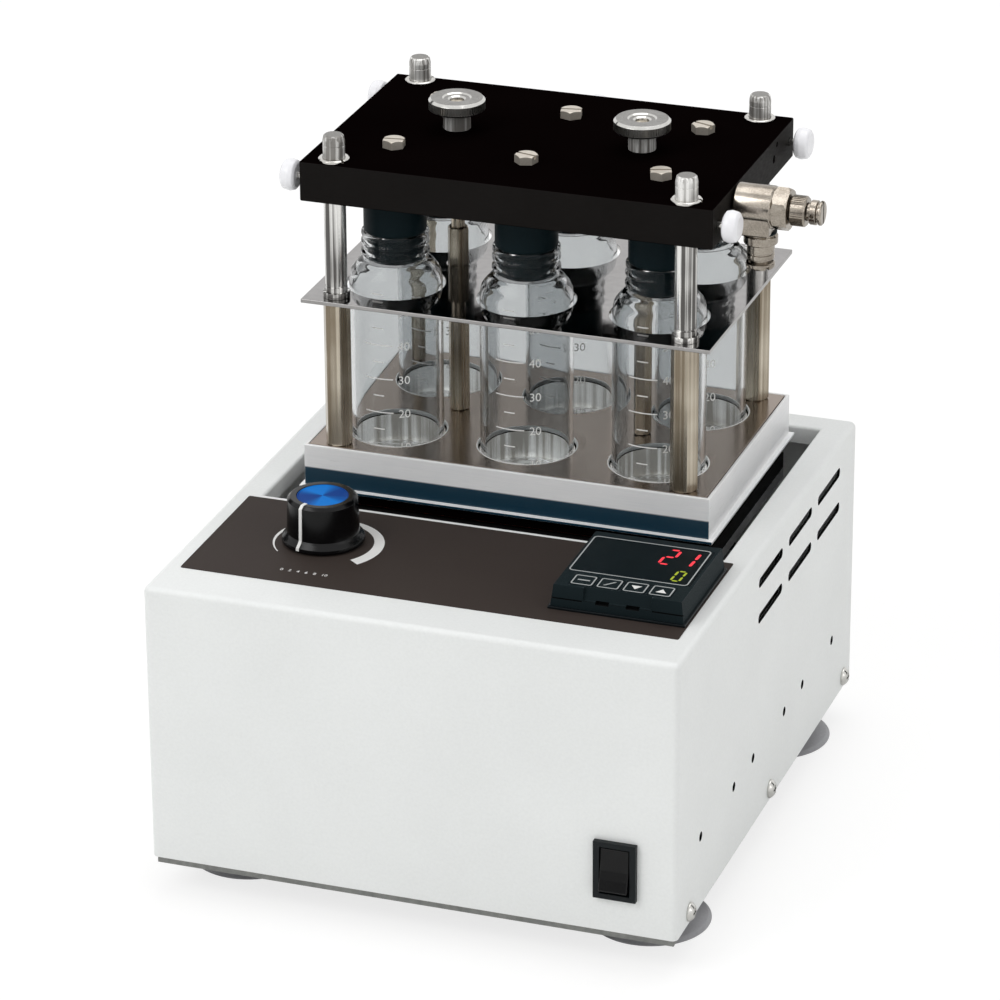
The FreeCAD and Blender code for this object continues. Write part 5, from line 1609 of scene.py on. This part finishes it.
@dataclass
class Tray:
    """The bright skirt, the brushed plate, the posts and the mirror shelf that holds the vials."""

    body: str = "platform"
    hole: float = 18.0
    rod_radius: float = 4.0
    rod_above: float = 9.6
    collar: float = 4.9
    groove: float = 3.75

    def build(self) -> None:
        """Makes the tray and its rack."""
        dress(refine("skirt_sheet", "tray_skirt", 0.3, 2), TRAY_STEEL, self.body, "stainless_tray")
        top = dress(refine("brushed_top", "top_plate", 0.2, 2), BRUSHED_PLATE, self.body, "brushed_plate")
        vials = vial_middles()
        # painted highlight: the walls of the holes are white
        second_finish(top, HOLE_EDGE_HIGHLIGHT, lambda place, normal: abs(normal.z) < 0.9
                      and any((place - vial).xy.length < POCKET_REACH * MM for vial in vials))
        dress(refine("mirror_shelf", "shelf_plate", 0.2, 2), MIRROR_STEEL, self.body, "mirror_shelf")
        dress(refine("rack_posts", "corner_posts", 0.12, 1, 25), STREAKED_NICKEL, self.body, "nickel_brass")
        dress(refine("stud_posts", "centre_posts", 0.12, 1, 25), STREAKED_NICKEL, self.body, "nickel_brass")
        self.ring_holes(vials)
        self.make_rods()

    def ring_holes(self, vials: list[Vector]) -> None:
        """Turns a white ring, the painted highlight on the polished edge of one hole in the top plate, and
        lays it round six.

        Args:
            vials: The middles of the vials.
        """
        top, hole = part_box("top_plate")[1].z, self.hole
        profile = [(hole - 0.12, -0.3), (hole + 0.3, -0.3), (hole + 0.55, 0.03, 0.05), (hole, 0.05, 0.1)]
        edge = lathe("hole_edge", profile, at(0, 0, 0), steps=96, ring=True)
        for n, vial in enumerate(vials, 1):
            copy = twin(edge, f"hole_edge_{n}", at(vial.x, vial.y, top))
            # painted highlight: a white ring round each hole
            dress(copy, HOLE_EDGE_HIGHLIGHT, self.body, "brushed_plate")
        bpy.data.objects.remove(edge)

    def make_rods(self) -> None:
        """Turns one guide rod with a foot, a groove and a chamfered tip, and stands four."""
        boxes = solid_boxes("guide_rods")
        tall = (boxes[0][1].z - boxes[0][0].z) / MM
        radius, collar, groove, above = self.rod_radius, self.collar, self.groove, self.rod_above
        profile = [(0, 0), (collar, 0, 0.2), (collar, 2.2, 0.3), (radius, 2.2), (radius, 4.2, 0.1),
                   (groove, 4.2), (groove, 4.8), (radius, 4.8, 0.1), (radius, tall - above),
                   (radius, tall - 4.2),
                   (radius - 0.12, tall - 4.1),
                   (radius - 0.12, tall - 3.7), (radius, tall - 3.6), (radius, tall - 2.2, 1.2),
                   (radius - 0.35, tall - 0.5, 0.2), (radius - 0.9, tall, 0.15), (0, tall)]
        bar = lathe("guide_rod", profile, at(0, 0, 0), steps=64)
        for n, (low, high) in enumerate(boxes, 1):
            copy = twin(bar, f"guide_rod_{n}", at((low.x + high.x) / 2, (low.y + high.y) / 2, low.z))
            # painted reflections: light and dark streaks along the upright bar, and a paler painted highlight
            # on its tip
            dress(copy, BAR_REFLECTION_STREAKS, self.body, "polished_rod", "guide_rods")
            second_finish(copy, BAR_END_PAINTED_LIGHT, lambda place, normal: place.z > high.z - above * MM)
            second_finish(copy, FACED_END, lambda place, normal: normal.z > 0.95
                          and place.z > high.z - 0.1 * MM)
        bpy.data.objects.remove(bar)


@dataclass
class Vials:
    """Six glass vials with a printed scale."""

    body: str = "platform"
    radius: float = 17.0
    wall: float = 1.6
    neck: float = 11.9
    bore: float = 10.5
    tall: float = 90.4
    first_mark: float = 12.0
    mark_pitch: float = 6.55
    marks: int = 10
    long_span: tuple[float, float] = (-21.5, 15.5)
    short_span: tuple[float, float] = (-10.0, 4.0)
    number_at: float = 29.0
    number_tall: float = 3.1

    def build(self) -> None:
        """Turns one vial, prints its scale and copies both to the six places."""
        vial = lathe("glass_vial", self.profile(), at(0, 0, 0), steps=96)
        scale = self.print_scale()
        for name in VIAL_PLACES:
            low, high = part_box(f"vial_{name}")
            place = at((low.x + high.x) / 2, (low.y + high.y) / 2, low.z)
            glass = twin(vial, f"glass_vial_{name}", place)
            dress(glass, GLASS, self.body, "clear_glass", f"vial_{name}")
            ink = twin(scale, f"vial_scale_{name}", place)
            dress(ink, WHITE_INK, self.body, "clear_glass")
        bpy.data.objects.remove(vial)
        bpy.data.objects.remove(scale)

    def profile(self) -> list[tuple]:
        """The vial's wall, from the middle of its base up outside and down inside."""
        radius, neck, bore, tall = self.radius, self.neck, self.bore, self.tall
        inner = radius - self.wall
        shoulder = tall - 20.4
        return [
            (0, 0.9), (radius * 0.66, 0.7, 2), (radius - 2.6, 0, 1.2), (radius, 0.6, 2.2),
            (radius, shoulder, 5), (radius - 0.6, shoulder + 5.0, 5), (neck + 1.4, tall - 11.8, 2.5),
            (neck - 0.3, tall - 11.0, 0.8),
            (neck - 0.3, tall - 9.4, 0.3), (neck + 0.55, tall - 8.6, 0.5), (neck + 0.55, tall - 7.6, 0.5),
            (neck - 0.3, tall - 6.8, 0.3), (neck - 0.3, tall - 5.4, 0.3), (neck + 0.5, tall - 4.6, 0.5),
            (neck + 0.5, tall - 3.8, 0.5), (neck - 0.2, tall - 3.0, 0.3), (neck - 0.2, tall - 1.9, 0.2),
            (neck + 0.4, tall - 1.3, 0.4), (neck + 0.4, tall - 0.2, 0.5), (bore + 0.3, tall, 0.3),
            (bore, tall - 0.7, 0.3), (bore, tall - 10.9, 2.5), (inner - 1.4, shoulder + 5.6, 4),
            (inner, shoulder - 0.4, 5), (inner, 3.2, 2.6), (inner - 3, 2.3, 2), (0, 2.3)]

    def print_scale(self) -> Piece:
        """Prints the ring of long and short marks and their numbers on a vial at the origin.

        Returns:
            The printed scale.
        """
        parts = []
        skin = 0.05 * MM
        surface = self.radius * MM + 0.02 * MM
        for n in range(self.marks):
            height = (self.first_mark + self.mark_pitch * n) * MM
            start, end = self.short_span if n % 2 else self.long_span
            mark = draw_chain([Vector((0, -surface, height)), Vector((0, -surface - skin, height)),
                               Vector((0, -surface - skin, height + 0.42 * MM)),
                               Vector((0, -surface, height + 0.42 * MM))], closed=True)
            bpy.ops.mesh.spin(steps=10, angle=math.radians(end - start), center=(0, 0, 0), axis=(0, 0, 1))
            bpy.ops.mesh.select_all(action="SELECT")
            bpy.ops.mesh.remove_doubles(threshold=1e-6)
            bpy.ops.mesh.normals_make_consistent(inside=False)
            release()
            turn_about(settle(mark, "mark"), end, at(0, 0, 0))
            parts.append(mark)
            if n % 2 == 0:
                foot = at(0, -surface - skin, height - self.number_tall / 2 * MM)
                number = printed_text("number", str(10 + 5 * n), self.number_tall, foot, Facing.FRONT)
                parts.append(turn_about(number, self.number_at, at(0, 0, 0)))
        return join("vial_scale", parts)


@dataclass
class Manifold:
    """The black gas manifold with its bushings, stoppers, screws, clamp nuts and white screws."""

    body: str = "manifold"
    bush_bore: float = 4.05
    bush_wall: float = 5.0
    bush_flange: float = 5.6
    bush_tall: float = 4.5
    nozzle_across: float = 7.4
    nozzle_head: float = 3.0
    slot_wide: float = 1.1
    nut_radius: float = 10.3
    nut_hub: float = 5.0
    nut_tall: float = 12.0
    nut_disc: float = 4.7
    knurls: int = 64
    thumb_radius: float = 5.8
    thumb_gap: float = 2.6
    thumb_long: float = 5.7

    def build(self) -> None:
        """Makes the manifold and all that it carries."""
        self.low, self.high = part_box("manifold_block")
        bar = refine("manifold_bar", "manifold_block", 0.3, 2)
        dress(bar, BLACK_ANODISED, self.body, "black_anodised")
        # painted sheen: the sides are a step lighter than the top
        second_finish(bar, ANODISED_SIDE_SHEEN, lambda place, normal: abs(normal.z) < 0.5)
        self.make_bushings()
        self.make_stoppers()
        self.make_nozzle_screws()
        self.make_clamp_nuts()
        self.make_thumb_screws()

    def make_bushings(self) -> None:
        """Turns one split bushing and sets it round each guide rod."""
        bore, wall, flange, tall = self.bush_bore, self.bush_wall, self.bush_flange, self.bush_tall
        profile = [(bore, 0), (wall, 0), (wall, tall), (flange, tall, 0.1), (flange, tall + 0.75, 0.2),
                   (flange - 0.5, tall + 1.15, 0.2), (bore, tall + 1.15, 0.2)]
        ring = lathe("bushing", profile, at(0, 0, 0), steps=64, ring=True)
        cut(ring, block("split", at(-0.5 * MM, 0, (tall + 0.02) * MM), at(0.5 * MM, 9 * MM, 9 * MM)))
        for n, (low, high) in enumerate(solid_boxes("rod_bushings"), 1):
            copy = twin(ring, f"rod_bushing_{n}", at((low.x + high.x) / 2, (low.y + high.y) / 2, low.z))
            turn_about(copy, 200 + 35 * n, (low + high) / 2)
            dress(copy, GROUND_STEEL, self.body, "polished_rod", "rod_bushings")
        bpy.data.objects.remove(ring)

    def make_stoppers(self) -> None:
        """Turns one stopper with a plug below its flange and hangs six."""
        boxes = solid_boxes("stoppers")
        tall = (boxes[0][1].z - boxes[0][0].z) / MM
        plug = tall - 15.9
        flange, bore, bore_deep = 11.4, 2.0, 9
        profile = [(0, 0), (9.1, 0, 0.3), (9.9, 1.2, 0.5), (10.2, plug, 0.2), (flange, plug, 0.5),
                   (flange, tall, 0.2), (bore, tall), (bore, tall - bore_deep), (0, tall - bore_deep)]
        stopper = lathe("stopper", profile, at(0, 0, 0), steps=72)
        for n, (low, high) in enumerate(boxes, 1):
            copy = twin(stopper, f"stopper_{n}", at((low.x + high.x) / 2, (low.y + high.y) / 2, low.z))
            dress(copy, BLACK_RUBBER, self.body, "black_rubber", "stoppers")
        bpy.data.objects.remove(stopper)

    def make_nozzle_screws(self) -> None:
        """Makes one slotted hexagon screw with a chamfered head and sets six at slightly other turns."""
        corner, head = self.nozzle_across / math.sqrt(3), self.nozzle_head
        screw = rod("nozzle_screw", corner * MM, at(0, 0, 0), at(0, 0, head * MM), 6)
        profile = [(0, -1), (corner + 0.1, -1), (corner + 0.1, head - 0.45), (corner - 0.55, head, 0.1),
                   (0, head)]
        dome = lathe("dome", profile, at(0, 0, 0), steps=48)
        cut(screw, dome, keep="INTERSECT")
        half = self.slot_wide / 2 * MM
        cut(screw, block("slot", at(-9 * MM, -half, (head - 1.3) * MM), at(9 * MM, half, 9 * MM)))
        ease_edges(screw, 0.08 * MM, 1, 25)
        shank = lathe("shank", [(0, -23), (1.95, -23, 0.3), (1.95, 0.2), (0, 0.2)], at(0, 0, 0), steps=32)
        screw = join("nozzle_screw", [screw, shank])
        turns = (8, -14, 20, -6, 12, -20)
        for n, ((low, high), turn) in enumerate(zip(solid_boxes("nozzle_screws"), turns), 1):
            place = at((low.x + high.x) / 2, (low.y + high.y) / 2, self.high.z)
            copy = turn_about(twin(screw, f"nozzle_screw_{n}", place), turn, place)
            dress(copy, TUMBLED_NICKEL, self.body, "nickel_brass", "nozzle_screws")
        bpy.data.objects.remove(screw)

    def make_clamp_nuts(self) -> None:
        """Turns the knurled nuts and cuts straight knurls into their rims."""
        disc, hub, tall = self.nut_radius, self.nut_hub, self.nut_tall
        base = tall - self.nut_disc
        profile = [(2.6, 0.3), (hub, 0.3, 0.3), (hub, base, 0.4), (disc - 0.7, base, 0.2),
                   (disc, base + 0.7, 0.2), (disc, tall - 0.9, 0.2), (disc - 0.9, tall, 0.2),
                   (hub + 0.3, tall, 0.2),
                   (hub - 0.3, tall - 0.5, 0.2), (3.3, tall - 0.5, 0.2), (2.6, tall - 1.0)]
        nut = lathe("clamp_nut", profile, at(0, 0, 0), steps=self.knurls * 2, ring=True)
        self.knurl(nut, at(0, 0, 0), disc, (base + 0.85, tall - 1.05), 0.36)
        shade(nut, 24)
        for side in ("left", "right"):
            node = f"clamp_nut_{side}"
            middle = centre_of(node)
            copy = twin(nut, f"{node}_knurled", at(middle.x, middle.y, self.high.z))
            dress(copy, SATIN_NICKEL, node, "polished_rod", node)
            second_finish(copy, BRIGHT_NICKEL, lambda place, normal: 0.3 < normal.z < 0.95)
            # painted highlight: the hub is paler and streaked
            second_finish(copy, BAR_END_PAINTED_LIGHT, lambda place, normal: abs(normal.z) < 0.5
                          and (place - middle).xy.length < (hub + 0.2) * MM)
        bpy.data.objects.remove(nut)

    def knurl(self, piece: Piece, foot: Vector, radius: float, span: tuple[float, float],
              deep: float) -> None:
        """Sinks every other strip of a rim, which leaves straight knurls.

        Args:
            piece: A piece turned in twice as many steps as it has knurls.
            foot: The foot of its axis, which points up.
            radius: The rim's radius in millimetres.
            span: The lowest and highest middle of the faces that are sunk, in millimetres.
            deep: How far they are sunk, in millimetres.
        """
        step = math.tau / (self.knurls * 2)

        def sunk(place: Vector, normal: Vector) -> bool:
            """Says if a face is a strip of the rim that is sunk."""
            flat = (place - foot).xy
            index = round((math.atan2(flat.y, flat.x) - step / 2) / step)
            return (abs(flat.length - radius * MM) < 0.1 * MM and abs(normal.z) < 0.2 and index % 2 == 0
                    and span[0] * MM < place.z - foot.z < span[1] * MM)

        pick_faces(piece, sunk)
        bpy.ops.mesh.extrude_region_move()
        factor = 1 - deep / radius
        bpy.ops.transform.resize(value=(factor, factor, 1), center_override=foot)
        release()

    def make_thumb_screws(self) -> None:
        """Turns the white heads and their steel studs."""
        radius, gap, long = self.thumb_radius, self.thumb_gap, self.thumb_long
        end = gap + long
        profile = [(0, gap), (radius - 1.4, gap, 0.5), (radius - 0.4, gap + 0.7, 0.7),
                   (radius, gap + 2.4, 2.0), (radius - 0.5, end - 0.8, 1.0), (radius - 1.8, end, 0.8),
                   (0, end - 0.1)]
        head = lathe("thumb_head", profile, at(0, 0, 0), steps=72)
        thread, tip, sunk = 1.45, -7, gap + 0.4
        stud = lathe("thumb_stud", [(0, tip), (thread, tip, 0.2), (thread, sunk), (0, sunk)], at(0, 0, 0),
                     steps=24)
        for node in ("thumb_screw_front_left", "thumb_screw_front_right", "thumb_screw_rear_left",
                     "thumb_screw_rear_right", "rear_port_plug"):
            place = centre_of(node)
            if "left" in node:
                facing, place.x = Facing.LEFT, self.low.x
            elif "right" in node:
                facing, place.x = Facing.RIGHT, self.high.x
            else:
                facing, place.y = Facing.BACK, self.high.y
            for model, finish, part in ((head, WHITE_NYLON, "head"), (stud, GROUND_STEEL, "stud")):
                name = f"{node}_{part}"
                copy = stand(twin(model, name, at(0, 0, 0)), name, place, facing)
                dress(copy, finish, node, "white_nylon", node)
        bpy.data.objects.remove(head)
        bpy.data.objects.remove(stud)


@dataclass
class GasValve:
    """The gas flow valve at the right end of the manifold."""

    body: str = "valve_body"
    barrel: float = 7.8
    barrel_long: float = 14.2
    hexagon: float = 14.0
    hexagon_long: float = 5.6
    port_offset: float = 9.0
    collar: float = 6.1
    lock_radius: float = 5.5
    lock_long: float = 5.8
    needle_radius: float = 4.4
    needle_long: float = 5.4
    knurls: int = 40

    def build(self) -> None:
        """Makes the valve from the manifold outwards."""
        low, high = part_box("valve_body")
        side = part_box("manifold_block")[1].x
        lock = centre_of("valve_lock_nut")
        self.axis = at(side + 0.3 * MM, lock.y, lock.z)
        self.port = at(self.axis.x + self.port_offset * MM, lock.y, 0)
        self.make_barrel()
        self.make_port()
        self.make_lock_nut()
        self.make_needle()
        self.make_ring()

    def make_barrel(self) -> None:
        """Makes the round barrel, the flat-sided block under it and the hexagon on its end."""
        radius, long = self.barrel, self.barrel_long
        profile = [(0, -8), (4, -8, 0.3), (4, 0), (radius - 0.8, 0, 0.3), (radius, 0.8, 0.4),
                   (radius, long - 0.6, 0.3), (radius - 0.6, long, 0.2), (0, long)]
        barrel = lathe("valve_barrel", profile, self.axis, Facing.RIGHT, steps=80)
        low = self.axis + at(1.2 * MM, -7.3 * MM, -9.2 * MM)
        high = self.axis + at((long - 0.4) * MM, 7.3 * MM, -0.5 * MM)
        chest = block("valve_chest", low, high)
        ease_edges(chest, 0.8 * MM, 3)
        start = self.axis + at(long * MM, 0, 0)
        end = start + at(self.hexagon_long * MM, 0, 0)
        corner, width, ease = self.hexagon / math.sqrt(3), self.hexagon_long, 0.9
        nut = rod("valve_hexagon", corner * MM, start, end, 6)
        profile = [(0, 0), (corner - ease, 0), (corner + 0.05, ease), (corner + 0.05, width - ease),
                   (corner - ease, width), (0, width)]
        dome = lathe("dome", profile, start, Facing.RIGHT, steps=64)
        cut(nut, dome, keep="INTERSECT")
        ease_edges(nut, 0.12 * MM, 1, 20)
        thread = lathe("valve_thread", [(0, 0), (3.1, 0), (3.1, 5.2, 0.3), (0, 5.2)], end, Facing.RIGHT,
                       steps=40)
        body = join("valve_casting", [barrel, chest, nut, thread])
        dress(body, NICKEL_BRASS, self.body, "nickel_brass", "valve_body")

    def make_port(self) -> None:
        """Turns the hose port that hangs from the barrel."""
        top = self.axis.z - (self.barrel + 1.8) * MM
        place = at(self.port.x, self.port.y, top - 9.5 * MM)
        collar = self.collar
        profile = [(3.7, 0), (4.95, 0, 0.2), (4.95, 1.8, 0.1), (4.6, 2.0), (4.6, 2.4), (4.95, 2.6, 0.1),
                   (4.95, 5.4, 0.2), (collar, 5.9, 0.3), (collar, 8.6, 0.3), (5.6, 9.3, 0.2), (5.6, 9.5),
                   (3.6, 9.5), (3.6, 12.5), (1.5, 12.5), (1.5, 9), (3.7, 9)]
        port = lathe("hose_port", profile, place, steps=72, ring=True)
        dress(port, NICKEL_BRASS, self.body, "nickel_brass")
        profile = [(3.7, 9.5), (5.7, 9.5, 0.3), (5.7, 10.4, 0.4), (3.7, 10.4)]
        seal = lathe("port_seal", profile, place, steps=48, ring=True)
        dress(seal, BLACK_RUBBER, self.body, "black_rubber")

    def make_lock_nut(self) -> None:
        """Turns the knurled lock nut."""
        low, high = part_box("valve_lock_nut")
        radius, long = self.lock_radius, self.lock_long
        profile = [(3.3, 0), (radius - 0.6, 0, 0.1), (radius, 0.6, 0.1), (radius, long - 0.6, 0.1),
                   (radius - 0.6, long, 0.1), (3.3, long)]
        nut = lathe("lock_nut", profile, at(0, 0, 0), steps=self.knurls * 2, ring=True)
        helper = Manifold(knurls=self.knurls)
        helper.knurl(nut, at(0, 0, 0), radius, (0.7, long - 0.7), 0.28)
        stand(nut, "lock_nut_knurled", at(low.x, self.axis.y, self.axis.z), Facing.RIGHT)
        shade(nut, 24)
        dress(nut, NICKEL_BRASS, "valve_lock_nut", "nickel_brass", "valve_lock_nut")

    def make_needle(self) -> None:
        """Turns the end knob of the needle with a neck, a cross hole and a slot."""
        low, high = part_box("valve_needle")
        radius, long = self.needle_radius, self.needle_long
        start = high.x - long * MM
        place = at(start, self.axis.y, self.axis.z)
        profile = [(0, -11), (0.7, -11), (1.6, -9, 0.3), (1.6, 0), (radius - 1.2, 0), (radius - 1.2, 1.0),
                   (radius, 1.0, 0.3), (radius, long - 2.1, 0.2), (radius - 0.9, long - 1.8, 0.1),
                   (radius - 0.9, long - 1.4, 0.1), (radius, long - 1.1, 0.2), (radius, long - 0.4, 0.3),
                   (radius - 0.5, long, 0.2), (0, long)]
        knob = lathe("needle_knob", profile, place, Facing.RIGHT, steps=64)
        cut(knob, rod("cross_hole", 0.8 * MM, place + at(2.2 * MM, -9 * MM, 0),
                      place + at(2.2 * MM, 9 * MM, 0), 24))
        cut(knob, block("slot", at(high.x - 0.8 * MM, self.axis.y - 0.5 * MM, self.axis.z - 9 * MM),
                        at(high.x + 2 * MM, self.axis.y + 0.5 * MM, self.axis.z + 9 * MM)))
        shade(knob, 30)
        dress(knob, NICKEL_BRASS, "valve_needle", "nickel_brass", "valve_needle")

    def make_ring(self) -> None:
        """Turns the hose release ring and notches its edge."""
        low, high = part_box("release_ring")
        place = at(self.port.x, self.port.y, low.z)
        profile = [(3.05, 0.1, 0.2), (4.9, 0, 0.3), (5.2, 0.6, 0.3), (5.2, 1.8, 0.3), (4.6, 2.2), (3.55, 2.2),
                   (3.55, 8.2), (3.05, 8.2)]
        ring = lathe("hose_ring", profile, place, steps=72, ring=True)
        low_end, high_end = place + at(3.6 * MM, -0.7 * MM, -MM), place + at(7 * MM, 0.7 * MM, 1.3 * MM)
        cut(ring, *[turn_about(block("notch", low_end, high_end), 45 + 90 * n, place) for n in range(4)])
        shade(ring, 30)
        dress(ring, NICKEL_BRASS, "release_ring", "nickel_brass", "release_ring")


def sub_assemblies() -> Iterator[object]:
    """Gives each sub-assembly in the order it is built."""
    yield Studio()
    yield Housing()
    yield SpeedKnob()
    yield Controller()
    yield PowerEntry()
    yield Drive()
    yield Tray()
    yield Vials()
    yield Manifold()
    yield GasValve()


def main() -> None:
    """Builds everything in order."""
    logging.basicConfig(level=logging.INFO, format="%(message)s")
    for part in sub_assemblies():
        part.build()
        LOG.info("built %s, %d shown pieces so far", type(part).__name__, len(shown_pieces()))
    release()
    visual_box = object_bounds()
    for n, (low, high) in enumerate((CAD_BOX, visual_box)):
        LOG.info("%s box %s %s", ("CAD", "visual")[n], tuple(low), tuple(high))


if __name__ == "__main__":
    main()
